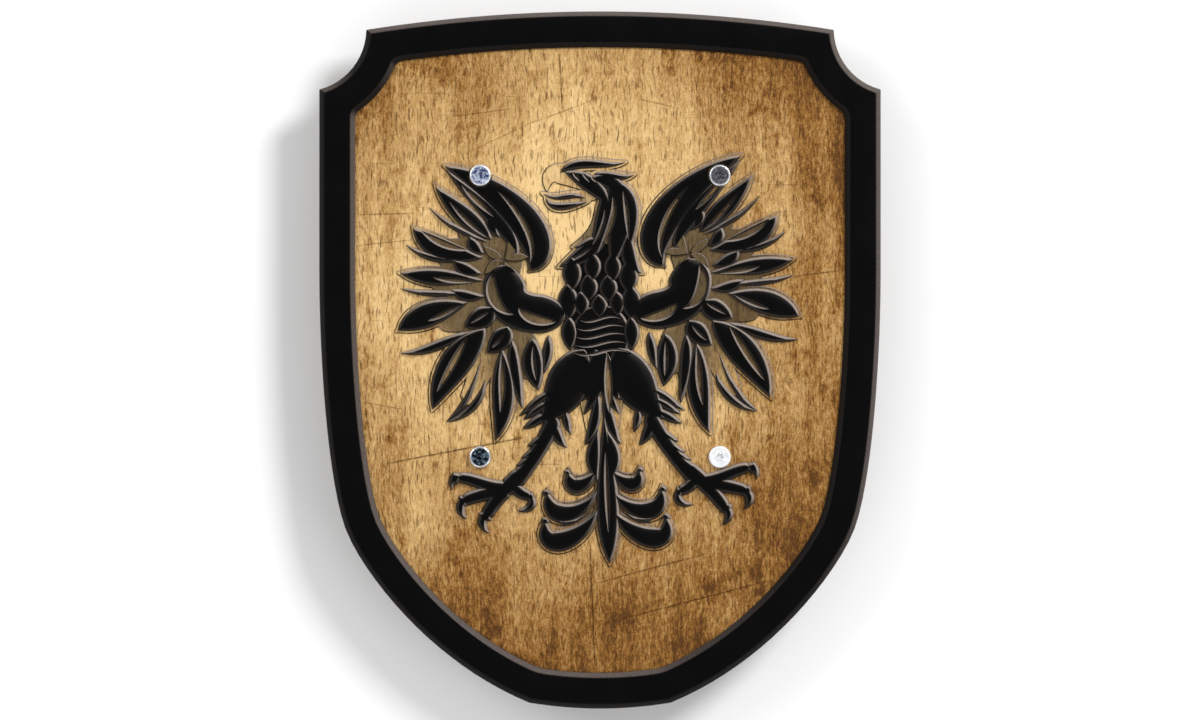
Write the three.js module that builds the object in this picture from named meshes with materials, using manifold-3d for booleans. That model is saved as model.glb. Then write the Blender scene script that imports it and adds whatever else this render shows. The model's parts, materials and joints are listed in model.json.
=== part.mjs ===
// A toy knight's heater shield: a wooden board in a black frame, with a relief of a displayed eagle,
// held face up on its two leather straps. Millimetres, +Z up, the shield's point towards -Y.
import * as THREE from 'three';
import { mergeVertices } from 'three/addons/utils/BufferGeometryUtils.js';
import Module from 'manifold-3d';

const wasm = await Module();
wasm.setup();

// ---- driving dimensions ----
const HALF_WIDTH = 153;
const HALF_HEIGHT = 190;
const STRAP_THICK = 3;
const HAND_ROOM = 24; // clear height between a strap and the board
const BACK_Z = STRAP_THICK + HAND_ROOM; // underside of frame and board
const BOARD_THICK = 8;
const FRONT_Z = BACK_Z + BOARD_THICK; // face of the board
const RIM_TOP_Z = FRONT_Z + 4;

const RIM_WIDTH = 19.6; // frame seen from the front
const RIM_CHAMFER = 2.7;
const RIM_LAP = 4; // how far the frame laps over the board's edge
const FIT_GAP = 0.3;

const SCALLOP_CENTRE = [161.5, 180.5]; // the hollow that cuts off each upper corner
const SCALLOP_RADIUS = 34.1;
const CROWN_RADIUS = 816; // the slight arch of the top edge
const FOOT_CORNER = [38.6, -186.8]; // where the side meets the blunt foot
const FOOT_RADIUS = 234;
const SIDE_STEPS = 14;

const BOLT_X = 65.3;
const BOLT_Y = [100.6, -52.8]; // upper and lower pair
const HEAD_RADIUS = 6.25;
const HEAD_HEIGHT = 3;
const SHANK_RADIUS = 2.5;
const SHANK_LENGTH = 16;
const HOLE_RADIUS = 2.75;
const RECESS_RADIUS = 1.9;
const RECESS_LOBE = 0.35;
const RECESS_DEPTH = 1.6;
const WASHER_RADIUS = 7.5;
const WASHER_THICK = 1.2;
const NUT_RADIUS = 4.9; // across the corners of the hexagon
const NUT_HEIGHT = 4;
const NUT_DOME = 2;
const BORE_RADIUS = 2.6;

const STRAP_WIDTH = 28;
const STRAP_TAB = 13; // flat end beyond and before each bolt
const STRAP_RAMP = 26; // length in which a strap leaves the board and reaches its lowest run

const EAGLE_TURN = THREE.MathUtils.degToRad(2); // the emblem sits slightly askew
const GROUND_THICK = 1; // flat wooden ground of the emblem
const GROUND_MARGIN = 1.7; // how far the ground shows round the raised parts
const RELIEF_HEIGHT = 3.3;
const RELIEF_SLOPE = 0.9; // how far the raised parts draw in from foot to top
const GROOVE_DEPTH = 1.9;
const BEAK_HEIGHT = 1.8;
const BOLT_CLEARANCE = 0.4;
const STROKE_STEP = 22; // a stroke gets one straight piece for each such length
const STROKE_BEND = 0.8; // and one more for each such turn in radians

const UNDERLAP = 1; // how far a cutter reaches past the face it cuts
const ROUND_STEPS = 14;

// ---- solids ----
function solidOf(geometry) {
  geometry.deleteAttribute('normal');
  geometry.deleteAttribute('uv');
  const merged = mergeVertices(geometry, 1e-4);
  return new wasm.Manifold(new wasm.Mesh({
    numProp: 3,
    vertProperties: new Float32Array(merged.attributes.position.array),
    triVerts: new Uint32Array(merged.index.array),
  }));
}

function geometryOf(solid) {
  const mesh = solid.getMesh();
  const geometry = new THREE.BufferGeometry();
  geometry.setAttribute('position', new THREE.BufferAttribute(mesh.vertProperties, 3));
  geometry.setIndex(new THREE.BufferAttribute(mesh.triVerts, 1));
  geometry.computeVertexNormals();
  return geometry;
}

function nearestIndex(points, target) {
  const distances = points.map((point) => point.distanceToSquared(target));
  return distances.indexOf(Math.min(...distances));
}

// A prism on an outline. With a second outline of as many points, the top takes that outline instead.
function prism(outline, z0, z1, topOutline = null) {
  const shape = new THREE.Shape(outline);
  const geometry = new THREE.ExtrudeGeometry(shape, { depth: z1 - z0, bevelEnabled: false });
  if (topOutline) {
    const position = geometry.attributes.position;
    for (let i = 0; i < position.count; i += 1) {
      const foot = new THREE.Vector2(position.getX(i), position.getY(i));
      const index = nearestIndex(outline, foot);
      if (position.getZ(i) > 0) position.setXY(i, topOutline[index].x, topOutline[index].y);
    }
  }
  geometry.translate(0, 0, z0);
  return solidOf(geometry);
}

function turned(profile, steps = ROUND_STEPS) {
  const points = profile.map(([radius, z]) => new THREE.Vector2(radius, z));
  const geometry = new THREE.LatheGeometry([...points, points[0].clone()], steps);
  geometry.rotateX(Math.PI / 2);
  return solidOf(geometry);
}

function placed(solid, x, y, z = 0) {
  return solid.translate([x, y, z]);
}

function joined(solids) {
  return solids.reduce((whole, solid) => whole.add(solid));
}

// ---- the shield's outline ----
function bezier(...controls) {
  return new THREE.CubicBezierCurve(...controls.map(([x, y]) => new THREE.Vector2(x, y)));
}

// Where two circles meet, at the smaller x of the two places.
function circlesMeet(centreA, radiusA, centreB, radiusB) {
  const apart = centreB.clone().sub(centreA);
  const along = (apart.lengthSq() + radiusA ** 2 - radiusB ** 2) / (2 * apart.length());
  const aside = Math.sqrt(radiusA ** 2 - along ** 2);
  const unit = apart.normalize();
  const foot = centreA.clone().addScaledVector(unit, along);
  const across = new THREE.Vector2(-unit.y, unit.x);
  const ends = [foot.clone().addScaledVector(across, aside), foot.clone().addScaledVector(across, -aside)];
  return ends[0].x < ends[1].x ? ends[0] : ends[1];
}

function arcPoints(centre, from, to, steps) {
  const radius = from.distanceTo(centre);
  const start = from.clone().sub(centre).angle();
  const turn = to.clone().sub(centre).angle() - start;
  const sweep = Math.atan2(Math.sin(turn), Math.cos(turn));
  return Array.from({ length: steps + 1 }, (_, i) => {
    const angle = start + (sweep * i) / steps;
    return new THREE.Vector2(centre.x + radius * Math.cos(angle), centre.y + radius * Math.sin(angle));
  });
}

const SIDE_CURVES = [
  bezier([HALF_WIDTH, 48], [HALF_WIDTH, -0.4], [148.3, -64.6], [139, -91.4]),
  bezier([139, -91.4], [132.6, -109.8], [97, -162.7], FOOT_CORNER),
];

// A point of the curved side, drawn in square to it; t runs from 0 at the top to 2 at the foot.
function sidePoint(t, inset) {
  const curve = SIDE_CURVES[t < 1 ? 0 : 1];
  const local = t < 1 ? t : t - 1;
  const along = curve.getTangent(local);
  return curve.getPoint(local).add(new THREE.Vector2(along.y, -along.x).multiplyScalar(inset));
}

// The outline drawn in by a distance, with the same number of points whatever the distance.
function shieldOutline(inset = 0) {
  const crownCentre = new THREE.Vector2(0, HALF_HEIGHT - CROWN_RADIUS);
  const footCentre = new THREE.Vector2(0, FOOT_RADIUS - HALF_HEIGHT);
  const scallopCentre = new THREE.Vector2(...SCALLOP_CENTRE);
  const scallopRadius = SCALLOP_RADIUS + inset;
  const topCorner = circlesMeet(crownCentre, CROWN_RADIUS - inset, scallopCentre, scallopRadius);
  const sideX = HALF_WIDTH - inset;
  const sideDrop = Math.sqrt(scallopRadius ** 2 - (scallopCentre.x - sideX) ** 2);
  const sideCorner = new THREE.Vector2(sideX, scallopCentre.y - sideDrop);
  let [low, high] = [1, 2];
  for (let i = 0; i < 40; i += 1) {
    const middle = (low + high) / 2;
    const within = sidePoint(middle, inset).distanceTo(footCentre) < FOOT_RADIUS - inset;
    [low, high] = within ? [middle, high] : [low, middle];
  }
  const footCorner = sidePoint(low, inset);
  const side = [];
  for (let i = 0; i < SIDE_STEPS; i += 1) side.push(sidePoint((low * i) / SIDE_STEPS, inset));
  const half = [
    ...arcPoints(crownCentre, new THREE.Vector2(0, HALF_HEIGHT - inset), topCorner, 4),
    ...arcPoints(scallopCentre, topCorner, sideCorner, 6).slice(1),
    ...side,
    ...arcPoints(footCentre, footCorner, new THREE.Vector2(0, inset - HALF_HEIGHT), 3),
  ];
  const mirrored = half.slice(1, -1).reverse().map((point) => new THREE.Vector2(-point.x, point.y));
  return [...half, ...mirrored].reverse();
}

const OUTLINE = shieldOutline();

function makeRim() {
  const chamferZ = RIM_TOP_Z - RIM_CHAMFER;
  const opening = shieldOutline(RIM_WIDTH);
  const openingTop = shieldOutline(RIM_WIDTH - RIM_CHAMFER - UNDERLAP);
  const rebate = shieldOutline(RIM_WIDTH - RIM_LAP);
  return prism(OUTLINE, BACK_Z, chamferZ)
    .add(prism(OUTLINE, chamferZ, RIM_TOP_Z, shieldOutline(RIM_CHAMFER)))
    .subtract(prism(rebate, BACK_Z - UNDERLAP, FRONT_Z))
    .subtract(prism(opening, FRONT_Z - UNDERLAP, chamferZ))
    .subtract(prism(opening, chamferZ, RIM_TOP_Z + UNDERLAP, openingTop));
}

function forEachBolt(visit) {
  BOLT_Y.forEach((y, row) => [-BOLT_X, BOLT_X].forEach((x, side) => {
    visit(x, y, `${['upper', 'lower'][row]}_${['left', 'right'][side]}`);
  }));
}

function makePanel() {
  let panel = prism(shieldOutline(RIM_WIDTH - RIM_LAP + FIT_GAP), BACK_Z, FRONT_Z);
  const hole = turned([[0, BACK_Z - UNDERLAP], [HOLE_RADIUS, BACK_Z - UNDERLAP],
    [HOLE_RADIUS, FRONT_Z + UNDERLAP], [0, FRONT_Z + UNDERLAP]]);
  forEachBolt((x, y) => { panel = panel.subtract(placed(hole, x, y)); });
  return panel;
}

// ---- fittings ----
function makeBolt() {
  const head = turned([[0, 0], [HEAD_RADIUS, 0], [HEAD_RADIUS, HEAD_HEIGHT - 0.9],
    [HEAD_RADIUS - 0.9, HEAD_HEIGHT], [0, HEAD_HEIGHT]]);
  const shank = turned([[0, -SHANK_LENGTH], [SHANK_RADIUS, -SHANK_LENGTH],
    [SHANK_RADIUS, UNDERLAP], [0, UNDERLAP]]);
  const lobes = Array.from({ length: 12 }, (_, i) => {
    const angle = (i / 12) * 2 * Math.PI;
    const radius = RECESS_RADIUS + RECESS_LOBE * Math.cos(6 * angle);
    return new THREE.Vector2(radius * Math.cos(angle), radius * Math.sin(angle));
  });
  return head.add(shank).subtract(prism(lobes, HEAD_HEIGHT - RECESS_DEPTH, HEAD_HEIGHT + UNDERLAP));
}

function makeWasher() {
  return turned([[BORE_RADIUS, 0], [WASHER_RADIUS, 0], [WASHER_RADIUS, WASHER_THICK],
    [BORE_RADIUS, WASHER_THICK]]);
}

// A hexagonal cap nut, its closed dome downwards.
function makeNut() {
  const hexagon = turned([[0, -NUT_HEIGHT], [NUT_RADIUS, -NUT_HEIGHT], [NUT_RADIUS, 0], [0, 0]], 6);
  const domeRadius = NUT_RADIUS * 0.8;
  const dome = turned([[0, -NUT_HEIGHT - NUT_DOME], [domeRadius * 0.6, -NUT_HEIGHT - NUT_DOME * 0.75],
    [domeRadius, -NUT_HEIGHT], [domeRadius, -UNDERLAP], [0, -UNDERLAP]]);
  const bore = turned([[0, -NUT_HEIGHT], [BORE_RADIUS, -NUT_HEIGHT], [BORE_RADIUS, UNDERLAP], [0, UNDERLAP]]);
  return hexagon.add(dome).subtract(bore);
}

// A strap bolted at both ends, seen from the side as a low tray: flat tabs, slopes and a level run.
function makeStrap() {
  const span = BOLT_Y[0] - BOLT_Y[1];
  const levelHalf = span / 2 - STRAP_TAB - STRAP_RAMP;
  const drop = BACK_Z - STRAP_THICK;
  const rampSteps = 7;
  const centre = [new THREE.Vector2(-span / 2 - STRAP_TAB, drop)];
  for (let i = 0; i <= rampSteps; i += 1) {
    const run = i / rampSteps;
    const height = drop * (0.5 + 0.5 * Math.cos(Math.PI * run));
    centre.push(new THREE.Vector2(-levelHalf - STRAP_RAMP * (1 - run), height));
  }
  const half = centre.map((point, i) => {
    const along = (centre[i + 1] ?? new THREE.Vector2(0, 0)).clone().sub(centre[Math.max(i - 1, 0)]);
    return { point, normal: new THREE.Vector2(-along.y, along.x).normalize() };
  });
  const mirror = ({ point, normal }) => ({
    point: new THREE.Vector2(-point.x, point.y),
    normal: new THREE.Vector2(-normal.x, normal.y),
  });
  const line = [...half, ...half.map(mirror).reverse()];
  const side = (offset) => line.map(({ point, normal }) => {
    const level = Math.abs(normal.x) < 0.2 ? new THREE.Vector2(0, 1) : normal;
    return new THREE.Vector2(point.x, point.y + STRAP_THICK / 2).addScaledVector(level, offset);
  });
  const profile = [...side(-STRAP_THICK / 2), ...side(STRAP_THICK / 2).reverse()];
  const shape = new THREE.Shape(profile);
  const geometry = new THREE.ExtrudeGeometry(shape, { depth: STRAP_WIDTH, bevelEnabled: false });
  geometry.translate(0, 0, -STRAP_WIDTH / 2);
  geometry.rotateX(Math.PI / 2);
  geometry.rotateZ(Math.PI / 2);
  const strap = placed(solidOf(geometry), 0, (BOLT_Y[0] + BOLT_Y[1]) / 2);
  const hole = turned([[0, 0], [HOLE_RADIUS, 0], [HOLE_RADIUS, FRONT_Z], [0, FRONT_Z]]);
  return BOLT_Y.reduce((cut, y) => cut.subtract(placed(hole, 0, y, STRAP_THICK)), strap);
}

// ---- the eagle ----
// Every feather and limb is a stroke: a spine with four control points from root to tip, a greatest
// width, and where along the spine that width comes. A stroke given two widths runs straight-sided
// from the first to the second. Named for the shield's left as one looks at it; wings, legs and tail
// are mirrored.
const LEAD_FEATHER = [
  [[-36, 50.5], [-21, 66], [-50, 95], [-80.5, 108.5], 18.5, 0.42],
  [[-43, 58], [-44, 72], [-60, 84], [-79.5, 106], 9, 0.5],
];
const BROAD_FEATHERS = [
  [[-57, 68], [-66, 78], [-76, 84], [-86, 97.4], 10.5, 0.45],
  [[-62, 58], [-82, 60], [-92, 66], [-99, 75.2], 11.5, 0.5],
  [[-62, 45.5], [-80, 48], [-92, 48], [-106.7, 51], 9, 0.55],
  [[-71, 34], [-82, 31], [-98, 28], [-109.2, 20.2], 13.5, 0.58],
  [[-62, 19.5], [-70, 10], [-84, 0], [-92, -23.3], 17, 0.52],
  [[-53, 7.5], [-54, -8], [-51, -24], [-58.3, -41.3], 12.2, 0.5],
];
const NARROW_FEATHERS = [
  [[-58, 66], [-74, 73], [-80, 76], [-90.3, 86.5], 4, 0.4],
  [[-68, 56.8], [-84, 56.5], [-94, 59], [-103.4, 66.5], 4.6, 0.5],
  [[-64, 39], [-84, 39], [-96, 39], [-107.2, 42.8], 4, 0.5],
  [[-70, 18], [-84, 13], [-94, 7], [-108.5, 7.6], 6, 0.45],
  [[-63.7, 6.2], [-68, -10], [-74, -24], [-84.8, -30.4], 4, 0.6],
  [[-62.9, -8], [-64, -18], [-72, -28], [-84.8, -30.8], 5, 0.5],
];
const COVERTS = [
  [[-52, 69], [-58, 74], [-57, 78], [-57, 81], 6.6, 0.5],
  [[-61, 60.5], [-66, 62], [-68, 66], [-68.5, 70], 6.5, 0.5],
  [[-63, 49.5], [-70, 50], [-75, 53], [-77.5, 57.5], 7, 0.5],
  [[-61.5, 37], [-70, 36], [-75, 38], [-79.4, 41], 6, 0.5],
  [[-57, 31], [-60, 25], [-68, 24], [-72.8, 20.4], 12, 0.45],
  [[-49.5, 20], [-51, 15], [-56, 10], [-61.3, 6.2], 11.5, 0.45],
  [[-47.5, 12], [-47.5, -4], [-45, -14], [-43.2, -24.4], 6.5, 0.35],
  [[-36, 13], [-38, 0], [-36, -6], [-34.2, -15], 11.5, 0.42],
  [[-27.5, 14], [-28, 6], [-29, 0], [-31, -6], 5, 0.4],
];
const WING_ARM = [[[-18, 27], [-46, 23], [-56, 34], [-48, 53], [20, 24]]];
const WING_GROOVES = [
  [[-36, 54.5], [-31, 68], [-44, 86], [-52, 93.5], 3.4, 0.45],
  [[-55, 80], [-62, 87], [-67, 92], [-72, 98], 3.6, 0.5],
  [[-58, 68.4], [-66, 74], [-72, 80], [-78.8, 89], 3, 0.5],
  [[-68.4, 62.2], [-80, 64], [-88, 68], [-95, 74], 4.5, 0.5],
  [[-63.5, 44.4], [-74, 46], [-82, 46], [-89, 48.2], 3.4, 0.5],
  [[-74.4, 33], [-80, 30], [-88, 26], [-93, 24.7], 3, 0.5],
  [[-71.2, 16], [-76, 8], [-84, -6], [-89.2, -14], 4.2, 0.5],
  [[-53, 6.2], [-54, -6], [-53, -16], [-55.3, -26.6], 4, 0.5],
  [[-23, 22], [-36, 21.5], [-42, 27], [-43, 30], 6, 0.4],
  [[-46, 26.4], [-56, 29], [-60, 40], [-56, 50], 7, 0.55],
];
const HEAD_AND_NECK = [
  [[-15.5, 102.5], [-8, 109], [2, 103.5], [17, 107], 2.8, 0.4],
  [[-10.5, 104], [0, 104], [10, 99.5], [20.3, 99.7], 2.6, 0.5],
  [[-15.5, 103], [-9, 101], [-4, 95], [5, 93], 5, 0.5],
  [[-4, 98], [2, 98], [6, 95], [15, 96], 5, 0.5],
  [[-1, 97], [12, 92], [11, 74], [3, 50], 15, 0.42],
  [[8, 97], [20, 90], [15, 72], [15, 52], 10, 0.45],
  [[16, 67], [14, 60], [16, 52], [24, 47.5], 7, 0.55],
  [[3, 68], [-4, 60], [-10, 54], [-20.5, 51.5], 7, 0.5],
  [[-4.8, 86.6], [-14, 86], [-21, 82], [-25.5, 87.8], 3, 0.5],
  [[-1, 88.6], [-9, 91], [-17, 87], [-20, 86.6], 2.4, 0.4],
];
const BEAK = [
  [[2, 90], [-12, 100], [-26, 106], [-25.5, 92.5], 10, 0.42],
  [[4, 87], [-12, 92], [-22, 80], [-27.4, 91.5], 8, 0.45],
  [[0, 84], [5, 74], [-1, 67], [-14, 63], 6, 0.4],
];
const NECK_GROOVES = [
  [[13, 91], [17, 76], [8, 68], [1.6, 53.5], 4, 0.4],
  [[15.8, 94], [18, 86], [17, 76], [17.6, 66], 3.2, 0.5],
];
const LEG = [
  [[-8, 6], [-17, -8], [-20, -22], [-34, -33], 24, 0.42],
  [[-2, 6], [-1, -8], [-5, -18], [-10, -30], 14, 0.4],
  [[-30, -34], [-36, -44], [-43, -55], [-50, -66], [11, 7]],
];
const LEG_BARBS = [
  [[-22, -14], [-32, -18], [-38, -24], [-45.4, -29.2], 5, 0.5],
  [[-24, -20], [-32, -23], [-38, -28], [-43, -31], 5, 0.5],
  [[-24, -26], [-34, -30], [-38, -34], [-43.5, -35.8], 5.5, 0.5],
  [[-27, -29], [-28, -36], [-24, -43], [-19.6, -47.2], 7, 0.45],
  [[-20, -25], [-20, -31], [-19, -36], [-17, -40], 5, 0.45],
];
const TOES = [
  [[-48, -67], [-60, -71], [-70, -61], [-80, -61.5], [7, 4.4]],
  [[-50, -68], [-60, -70], [-70, -71], [-78, -74.5], [7, 5]],
  [[-52, -68], [-58, -72], [-62, -78], [-66, -84], [6, 5.5]],
  [[-50, -66], [-46, -72], [-43, -72], [-40, -73], [6, 4]],
  [[-78, -61], [-82, -60], [-84, -64], [-83, -68], 4, 0.3],
  [[-77, -74], [-80, -77], [-79, -82], [-75.4, -83.8], 4.4, 0.3],
  [[-65, -83], [-69, -85], [-67, -90], [-63.4, -92.2], 4.4, 0.3],
  [[-41, -71], [-37, -78], [-42, -81], [-48.4, -80.2], 4.4, 0.4],
];
const TAIL_MIDDLE = [
  [[1.4, -26], [1.4, -60], [1.4, -90], [1.4, -110.5], 12, 0.6],
];
const TAIL_SIDE = [
  [[-3, -30], [-8, -38], [-9, -42], [-13.5, -47], 5, 0.5],
  [[-3, -40], [-6, -50], [-6, -54], [-2, -62], 6, 0.5],
  [[-2, -56], [-8, -68], [-20, -70], [-19.6, -59], 7.5, 0.6],
  [[-2, -67], [-10, -82], [-30, -86], [-30, -68], 7.6, 0.6],
  [[-2, -79], [-8, -96], [-34, -104], [-31.6, -84.4], 8.5, 0.55],
];
const BODY_GROOVES = [
  [[1.4, -50], [1.4, -62], [1.4, -80], [1.4, -94], 3, 0.5],
  [[4.2, 4], [4.2, -8], [4.2, -20], [4.2, -29], 4.6, 0.5],
];
const THIGH_GROOVES = [
  [[-6.4, -19.6], [-13, -26], [-17, -36], [-13, -47], 7.5, 0.5],
];
// Breast feathers: x of each, y of its tip, length and width.
const BREAST_SCALES = [
  [-5, 44, 13, 6], [8, 43, 14, 6], [-16, 36, 14, 9.5], [-4.8, 32.6, 12, 8],
  [6.9, 31.8, 11, 8], [18, 31.5, 17, 8], [-13.5, 23, 17, 9], [14, 22.5, 18, 9],
];
const BELLY_ROWS = [[27, 13], [21.5, 12.5], [15.5, 12.5], [9.5, 13]]; // height and half length of each row
// The flat ground alone, where no raised part stands on it.
const GROUND_FILL = [
  [[1, 58], [1, 40], [1, 20], [1, -2], [38, 30]],
  [[-55, 72], [-62, 56], [-60, 40], [-50, 22], [22, 16]],
  [[-62, 34], [-60, 24], [-54, 16], [-40, 12], [20, 8]],
  [[1, 0], [1, -14], [1, -26], [1, -44], [26, 12]],
  [[-60, 18], [-62, 2], [-64, -10], [-74, -23], [9, 5]],
  [[-46, 18], [-44, 6], [-39, 0], [-33, -4], [12, 14]],
];

function mirroredStroke([p0, p1, p2, p3, ...rest]) {
  return [...[p0, p1, p2, p3].map(([x, y]) => [-x, y]), ...rest];
}

function bothSides(strokes) {
  return [...strokes, ...strokes.map(mirroredStroke)];
}

// The outline of a stroke, made wider and longer by a margin, or narrower where the margin is negative.
function strokeOutline([p0, p1, p2, p3, width, widestAt], margin = 0) {
  const spine = bezier(p0, p1, p2, p3);
  const bend = Math.abs(spine.getTangent(0).angleTo(spine.getTangent(1)));
  const steps = THREE.MathUtils.clamp(Math.round(spine.getLength() / STROKE_STEP + bend / STROKE_BEND), 2, 6);
  const straight = Array.isArray(width);
  const skew = straight ? 1 : Math.log(0.5) / Math.log(widestAt);
  const halfWidth = (t) => {
    if (straight) return (width[0] + (width[1] - width[0]) * t) / 2;
    return (width / 2) * Math.sin(Math.PI * t ** skew) ** 0.8;
  };
  const left = [];
  const right = [];
  for (let i = 0; i <= steps; i += 1) {
    const t = i / steps;
    const along = spine.getTangent(t);
    const across = new THREE.Vector2(-along.y, along.x);
    const end = (i === 0 ? -1 : 0) + (i === steps ? 1 : 0);
    const point = spine.getPoint(t).addScaledVector(along, end * margin * (straight ? 1 : 1.8));
    const pointed = end !== 0 && !straight;
    const half = pointed ? 0 : Math.max(halfWidth(t) + margin, halfWidth(t) * 0.35);
    right.push(point.clone().addScaledVector(across, -half));
    if (!pointed) left.push(point.clone().addScaledVector(across, half));
  }
  return [...right, ...left.reverse()];
}

function makeEagle() {
  const onGround = [...bothSides([...LEAD_FEATHER, ...BROAD_FEATHERS, ...COVERTS, ...WING_ARM,
    ...TAIL_SIDE]), ...HEAD_AND_NECK, ...TAIL_MIDDLE];
  const onBoard = bothSides([...NARROW_FEATHERS, ...LEG, ...LEG_BARBS, ...TOES]);
  const scales = BREAST_SCALES.map(([x, y, length, width]) => (
    [[x, y + length], [x, y + length * 0.7], [x, y + length * 0.35], [x, y], width, 0.5]));
  const rows = BELLY_ROWS.map(([y, half]) => (
    [[1 - half, y], [-3, y - 4], [4, y + 4], [1 + half, y - 1], 4.2, 0.5]));
  const grooves = [...bothSides([...WING_GROOVES, ...THIGH_GROOVES]), ...NECK_GROOVES, ...BODY_GROOVES];

  const groundTop = FRONT_Z + GROUND_THICK;
  const reliefTop = FRONT_Z + RELIEF_HEIGHT;
  const ground = (stroke) => prism(strokeOutline(stroke, GROUND_MARGIN), FRONT_Z, groundTop);
  const relief = (stroke, from, top = reliefTop) => (
    prism(strokeOutline(stroke), from, top, strokeOutline(stroke, -RELIEF_SLOPE)));
  const groove = (stroke) => prism(strokeOutline(stroke, -RELIEF_SLOPE), reliefTop - GROOVE_DEPTH,
    reliefTop + UNDERLAP, strokeOutline(stroke));

  const inGround = FRONT_Z + GROUND_THICK / 2;
  const outermost = bothSides([LEAD_FEATHER[0], ...BROAD_FEATHERS, ...TAIL_SIDE.slice(2), ...GROUND_FILL]);
  const whole = joined([...outermost, ...HEAD_AND_NECK.slice(4), ...BEAK, ...TAIL_MIDDLE].map(ground))
    .add(joined(onGround.map((stroke) => relief(stroke, inGround))))
    .subtract(joined(grooves.map(groove)))
    .add(joined([...scales, ...rows].map((stroke) => relief(stroke, inGround))))
    .add(joined(onBoard.map((stroke) => relief(stroke, FRONT_Z))))
    .add(joined(BEAK.map((stroke) => relief(stroke, inGround, FRONT_Z + BEAK_HEIGHT))));
  let eagle = whole.rotate([0, 0, THREE.MathUtils.radToDeg(EAGLE_TURN)]);
  const seat = turned([[0, 0], [HEAD_RADIUS + BOLT_CLEARANCE, 0],
    [HEAD_RADIUS + BOLT_CLEARANCE, RIM_TOP_Z + UNDERLAP], [0, RIM_TOP_Z + UNDERLAP]]);
  forEachBolt((x, y) => { eagle = eagle.subtract(placed(seat, x, y)); });
  return eagle;
}

// ---- materials and assembly ----
const blackLacquer = new THREE.MeshStandardMaterial({ color: 0x17171a, roughness: 0.42, metalness: 0 });
const paleWood = new THREE.MeshStandardMaterial({ color: 0xd8bd8e, roughness: 0.6, metalness: 0 });
const brightSteel = new THREE.MeshStandardMaterial({ color: 0xc8ccd2, roughness: 0.22, metalness: 1 });
const brownLeather = new THREE.MeshStandardMaterial({ color: 0x5b3a22, roughness: 0.65, metalness: 0 });

const shield = new THREE.Group();
shield.name = 'heater_shield';

function addPiece(name, solid, material) {
  const mesh = new THREE.Mesh(geometryOf(solid), material);
  mesh.name = name;
  shield.add(mesh);
}

addPiece('rim', makeRim(), blackLacquer);
addPiece('panel', makePanel(), paleWood);
addPiece('eagle', makeEagle(), blackLacquer);

const bolt = makeBolt();
const washer = makeWasher();
const nut = makeNut();
const washerZ = BACK_Z - STRAP_THICK - WASHER_THICK;
forEachBolt((x, y, place) => {
  addPiece(`bolt_${place}`, placed(bolt, x, y, FRONT_Z), brightSteel);
  addPiece(`washer_${place}`, placed(washer, x, y, washerZ), brightSteel);
  addPiece(`nut_${place}`, placed(nut, x, y, washerZ), brightSteel);
});

const strap = makeStrap();
addPiece('arm_strap', placed(strap, -BOLT_X, 0), brownLeather);
addPiece('hand_strap', placed(strap, BOLT_X, 0), brownLeather);

export default shield;
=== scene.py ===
import json
import math

import bmesh
import bpy
from bpy.props import FloatProperty, FloatVectorProperty, IntProperty, PointerProperty
from mathutils import Matrix, Vector, geometry

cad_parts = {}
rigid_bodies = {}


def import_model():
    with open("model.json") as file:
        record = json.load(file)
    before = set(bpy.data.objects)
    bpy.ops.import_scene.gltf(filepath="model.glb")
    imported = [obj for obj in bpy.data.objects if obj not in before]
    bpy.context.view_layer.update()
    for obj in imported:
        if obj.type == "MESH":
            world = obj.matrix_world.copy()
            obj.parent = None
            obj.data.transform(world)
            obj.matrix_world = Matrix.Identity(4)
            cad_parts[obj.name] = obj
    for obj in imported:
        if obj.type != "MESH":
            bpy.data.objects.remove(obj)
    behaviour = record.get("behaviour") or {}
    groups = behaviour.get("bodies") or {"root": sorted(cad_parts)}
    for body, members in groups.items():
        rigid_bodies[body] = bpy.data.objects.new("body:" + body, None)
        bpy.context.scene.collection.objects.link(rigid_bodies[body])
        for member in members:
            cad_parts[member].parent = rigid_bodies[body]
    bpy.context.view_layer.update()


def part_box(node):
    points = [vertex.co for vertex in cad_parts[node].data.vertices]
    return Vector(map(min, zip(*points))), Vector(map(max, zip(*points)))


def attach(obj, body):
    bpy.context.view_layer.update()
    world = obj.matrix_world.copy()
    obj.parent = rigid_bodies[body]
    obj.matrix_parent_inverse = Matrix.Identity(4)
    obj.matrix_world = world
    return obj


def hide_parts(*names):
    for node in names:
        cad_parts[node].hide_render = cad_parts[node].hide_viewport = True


bl_info = {
    "name": "Toy Heater Shield",
    "version": (1, 0, 0),
    "blender": (4, 5, 0),
    "location": "View3D > Sidebar > Shield",
    "description": "Makes the finished pieces of a wooden toy shield with an eagle in relief",
    "category": "Object",
}

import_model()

MM = 0.001


def node_box(name):
    """Lowest and highest corner of a CAD node, in millimetres."""
    low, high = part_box(name)
    return low / MM, high / MM


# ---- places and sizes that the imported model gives, in millimetres ----
RIM_LOW, RIM_HIGH = node_box("rim")
BOARD_LOW, BOARD_HIGH = node_box("panel")
HALF_WIDTH = RIM_HIGH.x
HALF_HEIGHT = RIM_HIGH.y
BACK_Z = RIM_LOW.z
RIM_TOP_Z = RIM_HIGH.z
FRONT_Z = BOARD_HIGH.z
PLACES = ("upper_left", "upper_right", "lower_left", "lower_right")


def bolt_centre(place):
    low, high = node_box("bolt_" + place)
    return (low + high) / 2


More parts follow.
